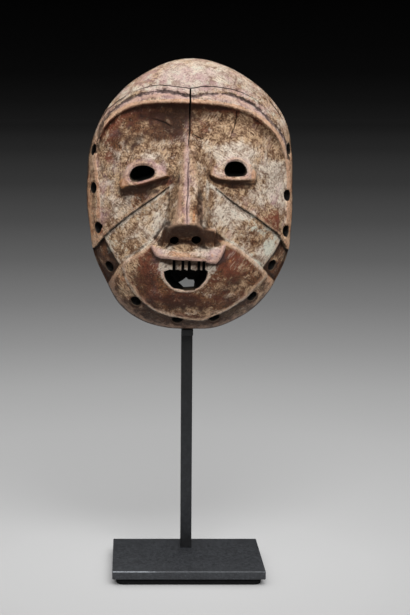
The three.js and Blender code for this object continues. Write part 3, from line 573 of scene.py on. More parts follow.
def mouthOutline():  # half an oval below, and the uneven ends of the teeth above
    mx, mz = mask["mouthMiddle"]
    angle = np.linspace(np.pi, 2 * np.pi, 40)
    wobble = 1 + 0.02 * np.sin(5 * angle) + 0.015 * np.sin(11 * angle)
    half, drop = mask["mouthHalf"], mask["mouthDrop"]
    lower = np.stack([mx + half * np.cos(angle) * wobble, mz + drop * np.sin(angle) * wobble], 1)
    x = np.linspace(mx + half - 1.6, mx - half + 1.6, 46)
    z = mz + mask["mouthRise"] + 0.7 * ease(1.1, 0.2, fromToothCut(x)) + 0.25 * np.sin(x * 1.7)
    return np.vstack([lower, np.stack([x, z], 1)])


def combine(body, other, how):  # cuts the other shape out of a body, or joins it on
    step = body.modifiers.new("combine", "BOOLEAN")
    step.operation, step.solver, step.object = how, "MANIFOLD", other
    shape = bpy.data.meshes.new_from_object(body.evaluated_get(bpy.context.evaluated_depsgraph_get()))
    body.modifiers.clear()
    body.data = shape
    bpy.data.objects.remove(other)


def cutMask(body, parts, name):  # a second material slot marks the faces of the cuts
    cutter = meshOf(name, *joined(parts))
    for shape in (body.data, cutter.data):
        while len(shape.materials) < 2:
            shape.materials.append(None)
    cutter.data.polygons.foreach_set("material_index", np.ones(len(cutter.data.polygons), int))
    combine(body, cutter, "DIFFERENCE")


def carvedMask():  # the shell with its holes drilled, then with the cuts between the teeth, the breach and the split
    m = mask
    body = meshOf("carvedMask", *maskShell())
    holes = [pit(smoothRound(hole), m["eyeSteps"]) for hole in m["eyeHoles"]]
    holes.append(pit(mouthOutline(), m["mouthSteps"]))
    for x, z in m["nostrils"]:
        holes.append(drill(x, z, m["nostrilDepth"], (0, 1, 0.1), m["nostrilRadius"], m["nostrilDeep"]))
    spots = rimHoleSpots()
    for (x, z), depth in zip(spots, frontDepth(*spots.T)):
        away = Vector((x - m["middle"][0], z - m["middle"][1])).normalized()
        direction = (-away.x * m["rimHoleInward"], m["rimHoleBackward"], -away.y * m["rimHoleInward"])
        holes.append(drill(x, z, depth, direction, m["rimHoleRadius"], m["rimHoleDeep"]))
    cutMask(body, holes, "holes")
    slots, low, high = [], m["toothCutLow"], m["toothCutTop"]
    for cut in m["toothCuts"]:
        a, b = cut - m["toothCutWide"] / 2, cut + m["toothCutWide"] / 2
        slots.append(pit([[a, low], [b, low], [b + 0.1, high], [a + 0.1, high]], [(m["toothCutFloor"], 1, 0)]))
    slots += [pit(m[name], [(m[name + "Floor"], 1, 0)]) for name in ("breach", "split")]
    cutMask(body, slots, "slots")
    body.data.name = "carvedMask"
    markCuts(body.data)
    return body


def readAll(items, name, kind=np.int32, wide=1):  # one property of all the vertices, edges, corners or faces
    values = np.empty(len(items) * wide, kind)
    items.foreach_get(name, values)
    return values


def markCuts(shape):  # keeps the faces of the cuts as an attribute, and makes only the edges of the cuts sharp
    shape.shade_smooth()
    shape.set_sharp_from_angle(angle=math.radians(40))
    isCut, sharp = readAll(shape.polygons, "material_index"), readAll(shape.edges, "use_edge_sharp", bool)
    cornerCut = np.repeat(isCut, readAll(shape.polygons, "loop_total"))
    cornerEdge = readAll(shape.loops, "edge_index")
    most, least = np.zeros(len(sharp), np.int32), np.ones(len(sharp), np.int32)
    np.maximum.at(most, cornerEdge, cornerCut)
    np.minimum.at(least, cornerEdge, cornerCut)
    shape.edges.foreach_set("use_edge_sharp", (most != least) | (sharp & (least == 1)))
    shape.attributes.new("pit", "FLOAT", "CORNER").data.foreach_set("value", np.float32(cornerCut))
    shape.polygons.foreach_set("material_index", np.zeros(len(isCut), np.int32))


maskPiece = carvedMask()
print("mask carved:", len(maskPiece.data.polygons), "faces")


# The finishes of the mask: how much each covers of every part, in hundredths, and soft patches that add to that or
# take from it, as (x, z, half width, half height, hundredths), the first four in millimetres.
finish = {
    # ochre, pale earth, greenish white, pink earth, handled wood, bare orange wood, dirt and painted shade, edges
    # rubbed bare
    "layers": ("tan", "clay", "chalk", "blush", "red", "worn", "grime", "rub"),
    "parts": {
        "rim": (58, 30, 0, 0, 30, 34, 40, 50),
        "dome": (82, 45, 26, 35, 0, 0, 0, 30),
        "brow": (85, 50, 0, 60, 40, 0, 0, 60),
        "face": (62, 30, 0, 20, 35, 0, 15, 35),
        # painted shade, partly real dirt: the recess under the brow darkened through the dirt-and-shade column
        "underBrow": (30, 0, 0, 0, 70, 0, 50, 0),
        # rubbed wood with a painted highlight: the brow's lower edge is made pale where its rounding turns into shade
        "browEdge": (100, 75, 0, 20, 50, 70, 0, 100),
        "band": (88, 36, 15, 0, 0, 0, 10, 30),
        "bandEdge": (90, 68, 30, 0, 0, 0, 0, 50),
        "bandFoot": (30, 0, 0, 0, 10, 0, 50, 0),
        "muzzle": (34, 10, 0, 12, 42, 0, 40, 45),
        "muzzleEdge": (75, 50, 15, 0, 20, 0, 0, 80),
        "beard": (100, 85, 0, 50, 0, 0, 0, 100),
        "lid": (75, 40, 0, 50, 40, 0, 15, 70),
        # painted shade: the undersides of the eyelids darkened
        "underLid": (30, 0, 0, 0, 0, 0, 66, 0),
        "nose": (70, 35, 0, 25, 0, 0, 15, 70),
        "lip": (90, 60, 0, 15, 0, 20, 0, 60),
        # painted shade: the lip's top darkened where the nose tip overhangs it
        "lipTop": (80, 25, 0, 0, 0, 0, 35, 0),
        "lipEdge": (90, 40, 0, 100, 0, 0, 0, 60),
        # painted shade and dirt: the nose's underside darkened
        "underNose": (25, 0, 0, 0, 0, 0, 72, 0),
        "tooth": (70, 45, 0, 0, 0, 0, 40, 100),
    },
    "patches": {
        "tan": [
            (-13.4, 257, 12, 1.6, 20), (27.9, 243.5, 6, 4, 30), (-12, 242, 36, 8, -35), (-8, 235, 10, 5, -35),
            (-22, 228, 12, 4, 20), (32, 228, 18, 12, 30), (-38, 226, 7, 9, -20), (32.8, 214.5, 1.4, 4, -30),
            (40, 212, 14, 14, 30), (-17, 210.4, 5, 1.3, -60), (22.5, 210.4, 10, 0.9, -30),
            (-18.5, 209.6, 8, 1, -30), (-25, 208.4, 5, 1.3, -60), (-26, 201, 6, 4, -30), (-5.8, 198, 1.5, 9, -45),
            (4.4, 195, 1.6, 9, -50), (50.5, 190, 3, 14, 30), (-16.5, 188, 2.4, 6, 40), (51, 188, 3, 12, 30),
            (43, 187, 6, 7, -25), (-51, 181, 3, 6, 20), (33, 178, 4, 3, -50), (20, 168, 8, 6, -15),
            # the patch at (-14, 166) is painted light on the left end of the teeth, in the lip's shadow
            (44.4, 167.5, 3, 3, 40), (-14, 166, 2.6, 2, 50), (-33, 160, 4, 12, 35), (-41, 156, 5, 6, -40),
            (-20, 155, 8, 8, -15), (24, 154, 12, 6, 20), (0, 146, 12, 4, -15), (30, 145, 7, 5, -25),
            (-30, 142, 12, 6, -30), (-29, 141.7, 8, 5, -35), (2, 141.7, 14, 2.5, 40), (0, 139, 26, 3, 25),
            (0, 134, 48, 9, -35)],
        "clay": [
            (-21, 264, 7, 4, -25), (8, 264, 26, 8, 20), (-2, 262, 14, 6, 20), (-13.4, 257, 10, 1.4, 20),
            (-13.4, 257, 12, 1.6, 30), (-16, 256.4, 14, 0.8, 30), (-34, 254, 6, 6, 25), (-34, 254, 16, 12, -30),
            (-34, 253.9, 7, 4, 25), (-14, 250.5, 22, 2.5, 15), (33, 245, 6, 2, 30), (-15, 243, 36, 7, -25),
            (22, 227, 10, 3, 35), (26, 224, 9, 2, 20), (-22, 222.5, 8, 2, 25), (25, 222.5, 8, 3, 35),
            (16, 220, 6, 3, 20), (-14.4, 216.1, 3, 3, 30), (38, 216, 10, 6, 35), (-33, 211, 2, 3, -30),
            (-17, 210.4, 5, 1.3, -60), (-2, 210, 1.2, 24, 30), (44.9, 210, 3, 8, 30), (-25, 208.4, 5, 1.3, -60),
            (-16, 206, 6, 4, -20), (48, 206, 6, 10, 30), (40, 204, 8, 6, 15), (35.6, 199.6, 6, 6, 35),
            (-40, 198, 8, 12, 20), (17.5, 197, 5, 4, 30), (-2.3, 195, 3, 8, -30), (-1.2, 194, 0.9, 10, 25),
            (27.9, 192.5, 8, 2.4, 40), (19, 192, 7, 6, 30), (44, 192, 7, 6, 15), (46, 192, 5, 14, 20),
            (38.2, 191.2, 5, 5, -20), (38, 191, 8, 8, -20), (-12.3, 188.2, 1.6, 2.4, 30), (-16.5, 188, 2.4, 6, 40),
            (6.2, 188, 2, 2.6, 30), (42, 188, 4, 4, -30), (43, 188, 6, 8, -25), (-15.5, 187, 2.5, 5, 40),
            (-20, 181, 12, 4, 15), (-36.6, 179, 6, 4, -30), (-11.5, 176.5, 2.5, 2.5, 30), (7.5, 176, 3, 2.5, 30),
            (12, 175, 8, 2, 30), (7, 173, 8, 3, 30), (-16, 172, 4, 2.5, 25), (42, 172, 4, 4, 30),
            # painted light and shade here: (-0.5, 170.2) darkens the lip's lower edge as painted shade, and (-14,
            # 166), (-13.9, 166) and (11.5, 164.5) lighten the ends of the teeth as painted light where the lip's
            # shadow falls
            (7, 171.6, 9, 2, -30), (38, 171.2, 4, 4, 40), (-0.5, 170.2, 10, 1.1, -40), (-14, 166, 2, 2, 40),
            (-13.9, 166, 2, 2, 40), (11.5, 164.5, 2.6, 2, 40), (-2, 164.4, 9, 1.2, 40), (-1, 164.2, 13, 0.8, 30),
            (20, 150, 14, 4, 25), (2, 141.7, 14, 2.5, 35)],
        "chalk": [
            (-10, 187, 4, 4, 20), (35, 185, 8, 3, 40), (-34, 177, 9, 4, 20), (42, 175, 3.5, 5, 80),
            (-41.6, 173.5, 1.6, 5, 50), (37, 167.5, 4, 3, 40)],
        "blush": [
            (-21, 263, 9, 4, 30), (4, 263, 12, 5, 25), (-2, 256, 18, 3, 30), (-33, 248, 8, 3, 20),
            (33, 245, 8, 3, 25), (-14.4, 216.1, 3, 3, 40), (-2, 212, 1.1, 24, 50), (-2.4, 206, 1.4, 16, 35),
            (45, 200, 7, 10, 15), (-46, 195, 4, 20, 30), (20, 183, 5, 4, 35), (-16, 173, 4, 4, 60),
            (13, 173, 4, 5, 60), (13, 172, 6, 3, 30)],
        "red": [
            (-44, 236, 6, 14, 30), (-14, 210, 4, 6, 30), (-18.5, 209.6, 8, 1.1, 50), (-22, 209, 9, 1.4, 50),
            (-5.9, 204, 0.9, 12, 30), (-5.4, 200, 1.5, 12, 40), (36, 196, 6, 6, 20), (38, 191, 8, 8, 30),
            (-46, 190, 5, 16, 30), (44, 188, 7, 9, 35), (46, 186, 8, 10, 35), (-22, 168, 6, 7, 30),
            (20, 168, 8, 6, 40), (-4, 149, 5, 2.5, 50), (0, 146, 9, 4, 20)],
        "worn": [
            (32.3, 213, 1.8, 4.5, 90), (-34.6, 208.6, 2.6, 3.5, 90), (53, 195, 2, 26, 20), (1.3, 192.5, 1.1, 5, 72),
            (-52, 190, 2, 20, 30), (-3, 173.8, 8, 1.8, 30), (-4, 172.5, 8, 1.5, 25), (-21.5, 171, 3, 4, 30),
            (20, 170, 6, 4, 30), (44.4, 167.5, 2.5, 3, 45), (0, 134, 50, 12, -40)],
        "grime": [
            # many patches here are painted shade rather than dirt: under the brow, below the left eyelid, beside the
            # nose wings, under the lip across the tops of the teeth and along the lower rim; the negative ones at the
            # ends of the teeth are painted light in the lip's shadow
            (-21, 263, 6, 5, 25), (-13.4, 257, 12, 1.6, -30), (-16, 254.2, 16, 0.8, 20), (-34, 253.9, 7, 4, -20),
            (25, 252, 10, 0.8, 20), (-5.7, 245, 12, 4, 25), (27.9, 243.5, 7, 4, -20), (28, 243.5, 8, 4, -20),
            (-10, 240, 16, 7, 30), (34, 237, 5, 5, -20), (-8, 236, 8, 6, 30), (36, 234, 6, 5, -20),
            (-19, 231, 8, 6, 15), (-45.4, 230.6, 3, 8, 30), (-31.5, 230.6, 8, 6, 25), (-18.6, 230.6, 7, 5, 15),
            (-31, 230, 8, 8, 15), (-40, 228, 5, 10, 15), (50, 225, 2, 8, -30), (-14.4, 216.1, 3, 3, -30),
            (32.8, 214.5, 1.4, 4, 30), (22.5, 210.4, 10, 0.9, 50), (35, 210, 9, 12, -10), (-18.5, 209.6, 8, 1, 35),
            (22.7, 207.9, 7, 1.6, -30), (-23.7, 205.8, 8, 2, 25), (-22, 204.5, 10, 2, 30), (-5.9, 204, 0.9, 12, 45),
            (-26.3, 202.2, 3, 3, -25), (-22, 202, 12, 2.6, 15), (4.8, 202, 2, 14, 30), (-29, 201, 9, 3, 30),
            (35.6, 199.6, 6, 6, -20), (3.4, 199, 1.1, 10, 40), (4.4, 195, 1.4, 8, 35), (4.8, 195, 1.6, 12, 35),
            (-16, 193, 5, 6, 12), (-35, 192, 8, 5, -15), (51, 192, 4, 26, -25), (38.2, 191.2, 5, 5, 20),
            (-13.5, 191, 2, 6, -40), (-4, 188.5, 4, 3, 25), (-12.3, 188.2, 1.6, 2.4, -50),
            (-16.5, 188, 2.4, 6, -50), (5.7, 188, 3, 3.5, 30), (6.2, 188, 2, 2.6, -40), (42, 188, 4, 4, 30),
            (51, 188, 3, 12, -30), (-13, 187.6, 2.4, 2.4, 50), (-9.8, 187.6, 3.5, 3.5, 50), (-2.5, 187, 9, 3, 30),
            (-2, 186, 9, 2.2, 30), (-12, 182, 3, 4, 45), (9.5, 182, 5, 4, 35), (50.6, 181.5, 2, 5, -30),
            (-51, 181, 3, 6, -30), (-2, 180.6, 5, 1.6, -40), (30.5, 180, 4, 2, 15), (-36.6, 179, 6, 4, 25),
            (33, 178, 3.5, 2.5, 30), (-11.5, 176.5, 2.5, 2.5, -30), (-2, 176, 12, 1.5, -20),
            (7.5, 176, 3, 2.5, -30), (-0.5, 170.2, 10, 1, 15), (-0.5, 170.2, 12, 1.1, 35),
            (-0.5, 170.1, 12, 0.9, 30), (-2, 168.8, 14, 0.7, 60), (-1, 168, 14, 1.4, 30),
            (44.4, 167.5, 2.5, 3, -20), (-14, 166, 2.6, 2, -60), (-14, 166, 3, 2, -40), (11.5, 164.5, 2.6, 2, -50),
            (44, 160, 5, 9, -20), (-26, 158, 8, 8, 20), (-41, 156, 5, 6, 25), (22.7, 155.7, 8, 5, 20),
            (-42, 152, 6, 8, 30), (42, 150, 6, 8, 30), (-3.1, 147.9, 8, 4, 20), (-2, 145, 18, 4, 25),
            (30, 145, 8, 5, 30), (-29, 141.7, 8, 5, 30), (-28.9, 141.7, 8, 4, 30), (-28.9, 141.7, 6, 4, 20),
            (2, 141, 10, 2.5, -30), (-24, 138, 16, 6, 40), (24, 138, 16, 5, 30), (0, 134, 48, 9, 30),
            (0, 132, 40, 2, 40)],
        "rub": [],
    },
    "grid": (-58, 127, 232, 300, 0.5),  # where the relief is read for hollows: first x and z, columns, rows, step
}


def soften(values, cells):  # each value averaged with its neighbours, weights falling off as a bell
    reach = np.arange(-int(3 * cells), int(3 * cells) + 1)
    bell = np.exp(-0.5 * (reach / cells)**2)
    bell /= bell.sum()
    pad = len(reach) // 2
    for axis in (0, 1):
        wide = np.pad(values, [(pad, pad) if k == axis else (0, 0) for k in (0, 1)], mode="edge")
        values = np.apply_along_axis(lambda line: np.convolve(line, bell, "valid"), axis, wide)
    return values


def readGrid(grid, x, z, x0, z0, step):  # a value between the points of a square grid
    i, j, a, b = cellOf((x - x0) / step, (z - z0) / step)
    return fromCorners(lambda di, dj: grid[j + dj, i + di], a, b)


def partShares(x, z):  # how much each part of the mask has of a point; a part listed later covers those before it
    m = mask
    faceIn, lipIn = inside(regions["face"], x, z), inside(m["lip"], x, z)
    lidIn = np.array([inside(lid, x, z) for lid in m["lids"]])
    lidHigh = np.array([lidHeight(k, x, z) for k in (0, 1)])
    which = lidIn.argmax(0)[None]
    lidIn, lidHigh = np.take_along_axis(lidIn, which, 0)[0], np.take_along_axis(lidHigh, which, 0)[0]
    mz, out = m["mouthMiddle"][1], fromMouth(x, z)
    crescent = z - through(m["lipTop"])(x)
    muzzleIn = inside(regions["muzzle"], x, z)
    bandIn = [inside(regions[name], x, z) for name in ("bandLeft", "bandRight")]
    bandEnd = [offLine(m[name], x, z)[0] for name in ("bandLeftEnd", "bandRightEnd")]
    bands = [ease(-0.5, 0.5, far) for far in bandIn]
    edges = [np.minimum(far, -end) for far, end in zip(bandIn, bandEnd)]
    parts = {
        "rim": 1 + 0 * x,
        "dome": ease(-1, 1, z - browCrestAt(x)) * ease(225, 240, z),
        "brow": ease(-0.5, 0.5, inside(regions["brow"], x, z)) * ease(214, 230, z),
        "face": ease(-0.4, 0.4, faceIn),
        "underBrow": ease(-0.1, 0.3, faceIn) * ease(4.5, 1.5, faceIn) * ease(232, 240, z),
        "browEdge": ease(-2.4, -1.2, faceIn) * ease(0.3, -0.1, faceIn) * ease(183, 196, z),
        "band": np.maximum(*bands),
        "bandEdge": np.maximum(*[ease(-0.3, 0.3, far) * ease(2.6, 0.8, far) for far in edges]),
        "bandFoot": np.maximum(*[band * ease(-0.3, 0.3, end) for band, end in zip(bands, bandEnd)]),
        "muzzle": ease(-0.5, 0.5, muzzleIn),
        "muzzleEdge": ease(-0.8, 0, muzzleIn) * ease(1.8, 0.6, muzzleIn),
        "beard": np.exp(-((out - 1.05) * 13.75)**2) * ease(mz + 0.5, mz - 2.5, z),
        "lid": ease(-0.3, 1.2, lidIn),
        "underLid": ease(-0.3, 0.3, lidIn) * ease(0.95, 0.75, lidHigh),
        "nose": ease(0.1, 0.4, noseParts(x, z)[1]),
        "lip": ease(-0.3, 0.5, lipIn), "lipTop": ease(-0.3, 0.5, lipIn) * ease(-0.5, 0.7, crescent),
        "lipEdge": ease(-0.3, 0.3, lipIn) * ease(2.4, 1.2, lipIn) * ease(0.6, -0.4, crescent),
        "underNose": ease(-0.4, 1.4, inside(m["noseShade"], x, z)) * (0.4 + 0.6 * ease(176, 180, z)),
        "tooth": ease(-0.3, 0.3, inside(m["teeth"], x, z)) * ease(0.2, -0.4, lipIn),
    }
    left = 1
    for name in reversed(parts):
        parts[name] = parts[name] * left
        left = left - parts[name]
    return parts


def tellFinish(body):  # writes the finishes, hollows and lines onto the mask's vertices
    m = mask
    x, y, z = readAll(body.data.vertices, "co", float, 3).reshape(-1, 3).T / mm
    depth = maskBack - y
    sunk = frontDepth(x, z) - depth
    x0, z0, wide, high, step = finish["grid"]
    relief = frontDepth(*np.meshgrid(x0 + step * np.arange(wide), z0 + step * np.arange(high)))
    low = lambda cells: readGrid(soften(relief, cells) - relief, x, z, x0, z0, step)
    ring, _ = place(x, z)
    jx, jz = unsteady(x, z)
    cracks, cuts = [], []
    for points, *_ in m["cracks"] + [(m["lineAbove"],)]:
        far, where = offLine(points, jx, jz)
        cracks.append(far / np.sqrt(np.maximum(0.02, 1 - (2 * where - 1)**2)))
    for name, inner in (("cheekLeft", 1), ("cheekRight", 0)):  # wider toward the rim
        far, where = offLine(whole(name), jx, jz)
        cuts.append((far + 0.3) / (0.6 + 1.1 * np.abs(where - inner)**2))
    lines = {"grooveFar": offLine(whole("browCrest"), jx, jz)[0] + m["grooveLower"],
             "crackFar": nearestOf(cracks), "cutFar": nearestOf(cuts)}
    values = {
        "hollow": np.clip(low(2.4) / 0.8, -1, 1), "dell": np.clip(low(9) / 2.5, -1, 1),
        "back": ease(5.2, 3.5, depth) * ease(0.5, 1.5, sunk + (ring > 0.995)),
        "deep": ease(0, 0.9, sunk), **{name: np.clip(far, -3, 3) for name, far in lines.items()},
    }
    share = partShares(x, z)
    for k, name in enumerate(finish["layers"]):
        total = sum(amounts[k] * share[part] for part, amounts in finish["parts"].items())
        for cx, cz, rx, rz, strength in finish["patches"][name]:
            total = total + strength * np.exp(-((x - cx) / rx)**2 - ((z - cz) / rz)**2)
        values[name] = np.clip(total / 100, 0, 1) * ease(1.6, 0.6, sunk)
    for name, value in values.items():
        body.data.attributes.new(name, "FLOAT", "POINT").data.foreach_set("value", np.float32(value))


tellFinish(maskPiece)
print("mask finishes placed")


class Wire:  # a value inside a material; an expression on wires adds its Math nodes
    def __init__(self, paint, socket):
        self.paint, self.socket = paint, socket

    __add__ = __radd__ = lambda a, b: a.paint.maths("ADD", a, b)
    __mul__ = __rmul__ = lambda a, b: a.paint.maths("MULTIPLY", a, b)
    __sub__ = lambda a, b: a.paint.maths("SUBTRACT", a, b)
    __rsub__ = lambda a, b: a.paint.maths("SUBTRACT", b, a)
    __truediv__ = lambda a, b: a.paint.maths("DIVIDE", a, b)
    __rtruediv__ = lambda a, b: a.paint.maths("DIVIDE", b, a)


class Paint:  # a material, or the world, while its nodes are being put together
    def __init__(self, owner):
        owner.use_nodes = True
        self.owner, self.tree = owner, owner.node_tree
        self.places = self.add("TexCoord", output="Object") if isinstance(owner, bpy.types.Material) else None

    def add(self, kind, settings={}, inputs={}, output=0):
        node = self.tree.nodes.new("ShaderNode" + kind)
        for name, value in settings.items():
            if name == "greys":  # the stops of a colour ramp, each a place and a tone
                for spot, tone in value[2:]:
                    node.color_ramp.elements.new(spot)
                for element, (spot, tone) in zip(node.color_ramp.elements, value):
                    element.position, element.color = spot, (*shade(tone, tone, tone), 1)
            else:
                setattr(node, name, value)
        for name, value in inputs.items():
            self.plug(node.inputs[name], value)
        return Wire(self, node.outputs[output])

    def plug(self, socket, value):
        if isinstance(value, Wire):
            self.tree.links.new(value.socket, socket)
        else:
            socket.default_value = (*shade(*value), 1) if socket.type == "RGBA" else value

    def maths(self, operation, *values):
        return self.add("Math", {"operation": operation}, dict(enumerate(values)))

    def between(self, low, high, value):  # 0 below low, 1 above high, eased
        return self.add("MapRange", {"interpolation_type": "SMOOTHSTEP"},
                        {"Value": value, "From Min": low, "From Max": high})

    def mix(self, share, first, second):
        return self.add("Mix", {"data_type": "RGBA"}, {0: share, 6: first, 7: second}, 2)

    def split(self, vector):  # its x, y and z
        outputs = self.add("SeparateXYZ", {}, {"Vector": vector}).socket.node.outputs
        return [Wire(self, outputs[k]) for k in range(3)]

    def noise(self, perMetre, detail=3, rough=0.6, stretch=(1, 1, 1), turn=0, shift=(0, 0, 0)):
        turned = self.add("Mapping", {"vector_type": "TEXTURE"}, {
            "Vector": self.places, "Rotation": (0, math.radians(turn), 0), "Location": shift})
        moved = self.add("Mapping", {}, {"Vector": turned, "Scale": stretch})
        inputs = {"Vector": moved, "Scale": perMetre, "Detail": detail, "Roughness": rough}
        return self.add("TexNoise", {}, inputs, "Fac")

    def told(self, name):  # what was written onto the vertices
        return self.add("Attribute", {"attribute_name": name}, {}, "Fac")

    def coat(self, share, tone):  # lays a colour over what is there
        self.colour = self.mix(share, self.colour, tone)

    def finish(self, rough, gloss, height=None, strength=1, distance=0):
        sockets = self.tree.nodes["Principled BSDF"].inputs
        for name, value in {"Base Color": self.colour, "Roughness": rough, "Specular IOR Level": gloss}.items():
            self.plug(sockets[name], value)
        if height is not None:
            bump = self.add("Bump", {}, {"Strength": strength, "Distance": distance, "Height": height})
            self.plug(sockets["Normal"], bump)
        return self.owner


def shade(red, green, blue):  # a colour as a paint chart gives it, 0 to 255, made linear
    return tuple(((c / 255 + 0.055) / 1.055)**2.4 if c > 10 else c / 3294.6 for c in (red, green, blue))


def carvedWood():
    p = Paint(bpy.data.materials.new("carvedWood"))
    told = {name: p.told(name) for name in (
        "hollow", "dell", "pit", "deep", "back", "grooveFar", "crackFar", "cutFar", *finish["layers"])}
    fine, speck = p.noise(2600), p.noise(1150, 3, 0.6, shift=(0.3, 0, 0))
    wearA, wearB = p.noise(150, 9, 0.68), p.noise(170, 9, 0.68, shift=(0.3, 0.1, 0.2))
    wearC, wearD = p.noise(260, 8, 0.7, shift=(0.1, 0.4, 0)), p.noise(130, 9, 0.7, shift=(0.5, 0.2, 0.6))
    broad, grain = p.noise(90, 3, shift=(0, 0.2, 0.1)), p.noise(1200, 3, stretch=(1, 1, 0.1))
    strokeA = p.noise(1500, 2, 0.5, stretch=(1, 1, 0.2), turn=34)
    strokeB = p.noise(1500, 2, 0.5, stretch=(1, 1, 0.16), turn=-56, shift=(0.2, 0.1, 0))
    most = lambda a, b: p.maths("MAXIMUM", a, b)
    crossed = lambda a, b: most(a * p.between(0.4, 0.6, broad), b * p.between(0.6, 0.4, broad))
    strokes = crossed(strokeA, strokeB)

    def flecks(name, noise, width=0.07, reach=0.42):  # bare at 0, covered at 1, and in flecks between
        return p.between(0.5 - width, 0.5 + width, noise + (told[name] - 0.5) * reach)

    p.colour = p.mix(p.between(0.38, 0.62, grain * 0.2 + wearC * 0.4 + speck * 0.4), (56, 32, 19), (134, 88, 57))
    p.coat(flecks("red", wearD) * 0.7, (136, 72, 52))
    marks = wearC * 0.4 + speck * 0.3 + strokes * 0.3
    pale = p.between(0.375, 0.56, marks)
    p.coat(flecks("tan", wearA * 0.8 + speck * 0.2) * 0.94, p.mix(pale, (106, 73, 50), (218, 183, 146)))
    clayShare = flecks("clay", wearB * 0.7 + marks * 0.3, 0.1)
    p.coat(clayShare * 0.85, p.mix(pale, (180, 156, 138), (244, 232, 216)))
    p.coat(flecks("blush", wearD * 0.6 + broad * 0.4, 0.1) * 0.65, (202, 163, 164))
    chalkShare = flecks("chalk", wearC)
    p.coat(chalkShare * 0.85, (222, 222, 206))
    p.coat(flecks("worn", wearB) * 0.7, p.mix(pale, (166, 104, 64), (232, 166, 112)))
    hairs = p.between(0.56, 0.62, strokes) + p.between(0.62, 0.7, fine)
    p.coat(hairs * 0.32, (236, 214, 184))
    scores = crossed(p.between(0.42, 0.34, strokeA), p.between(0.42, 0.34, strokeB))
    p.coat(scores * 0.27, (74, 46, 32))
    # painted shade as well as dirt: the dark coat follows the dirt-and-shade layer and darkens the hollows and dells
    # of the relief, where shade falls
    dirtAndShade = p.between(0.42, 0.6, wearD * 0.75 + speck * 0.25 + (told["grime"] - 0.5) * 0.42
                     + told["hollow"] * 0.15 + told["dell"] * 0.06)
    dirtAndShade = most(dirtAndShade, p.between(0.75, 1, told["grime"]))
    p.coat(dirtAndShade * 0.86, (46, 26, 15))
    rubbed = p.between(0.1, 0.6, (wearC - 0.5) * 1.8 - told["hollow"]) * told["rub"]
    p.coat(rubbed * 0.65, (228, 186, 156))
    nicks = p.between(0.4, 0.33, speck)
    p.coat(nicks * 0.4, (46, 28, 18))
    ragged = (speck - 0.5) * 1.4 + (wearC - 0.5) * 3
    drawn = lambda name, wide, narrow, loose: p.between(
        wide, narrow, p.maths("ABSOLUTE", told[name]) + ragged * loose)
    groove = drawn("grooveFar", 0.9, 0.35, 1.5) * p.between(0.3, 0.55, wearD * 0.6 + speck * 0.4)
    line = most(most(groove, drawn("crackFar", 0.32, 0.13, 0.12)), drawn("cutFar", 0.55, 0.22, 0.8) * 0.85)
    p.coat(line * 0.88, (30, 20, 15))
    p.coat(told["back"], p.mix(p.between(0.35, 0.65, grain), (96, 66, 46), (128, 92, 64)))
    # painted shade: the faces of the cuts run from brown at the opening to near black deeper in, the dark of the
    # holes painted in
    p.coat(told["pit"], p.mix(told["deep"], (124, 104, 86), (8, 6, 5)))
    height = (fine * 0.25 + speck * 0.5 + wearC * 1.3 + strokes * 0.3 + grain * 0.2
              + clayShare * 0.1 + chalkShare * 0.1 - line * 0.6 - dirtAndShade * 0.15 - nicks * 0.12)
    rough = 0.5 + (speck - 0.5) * 0.4 + clayShare * 0.25
    return p.finish(rough, 0.22, height, 0.9, 0.0009)


maskPiece.data.materials.clear()
maskPiece.data.materials.append(carvedWood())
maskPiece.name = "mask_carved"
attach(maskPiece, "root")
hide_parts("mask")
print("mask painted")


# The stand, in millimetres; the sizes themselves come from the CAD boxes.
stand = {
    "plateCorner": 0.8, "plateBevel": 0.45, "padCorner": 4, "padBevel": 1, "barCorner": 0.45, "barBevel": 0.3,
    "ledgeLow": 126.6, "ledgeThick": 3.5, "ledgeCorner": 0.4, "rodFront": 12, "overlap": 2,
    "tongueHalf": 2, "tongueFront": 6.7, "tongueHigh": 3,
}


def roundedRect(low, high, corner, steps=6):  # corner arcs joined by straight sides, anticlockwise from above
    turn = np.linspace(0, np.pi / 2, steps)
    right, top, left, bottom = high[0] - corner, high[1] - corner, low[0] + corner, low[1] + corner
    parts = []
    for k, (cx, cy) in enumerate(((right, top), (left, top), (left, bottom), (right, bottom))):
        angle = turn + k * np.pi / 2
        parts.append(np.stack([cx + corner * np.cos(angle), cy + corner * np.sin(angle)], 1))
    return np.vstack(parts)


def roundedSlab(low, high, corner, bevel, axis=2):  # the rounded rectangle carried along an axis, its ends rounded
    a, b = [(1, 2), (2, 0), (0, 1)][axis]
    rings = []
    rise = [(bevel * (1 - np.sin(t)), bevel * (1 - np.cos(t))) for t in np.linspace(0, np.pi / 2, 5)]
    for inset, level in [(i, low[axis] + up) for i, up in rise] + [(i, high[axis] - up) for i, up in rise[::-1]]:
        path = roundedRect(
            (low[a] + inset, low[b] + inset), (high[a] - inset, high[b] - inset), max(corner - inset, 0.05))
        ring = np.empty((len(path), 3))
        ring[:, a], ring[:, b], ring[:, axis] = path[:, 0], path[:, 1], level
        rings.append(ring)
    return stack(rings)


def standPiece(name, node, slabs, material):  # the bars of a piece welded into one mesh
    made = meshOf(name, *joined(slabs[:1]))
    for slab in slabs[1:]:
        combine(made, meshOf("weldedBar", *joined([slab])), "UNION")
    made.data.name = name
    made.data.shade_smooth()
    made.data.set_sharp_from_angle(angle=math.radians(40))
    made.data.materials.clear()
    made.data.materials.append(material)
    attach(made, "root")
    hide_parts(node)
    return made


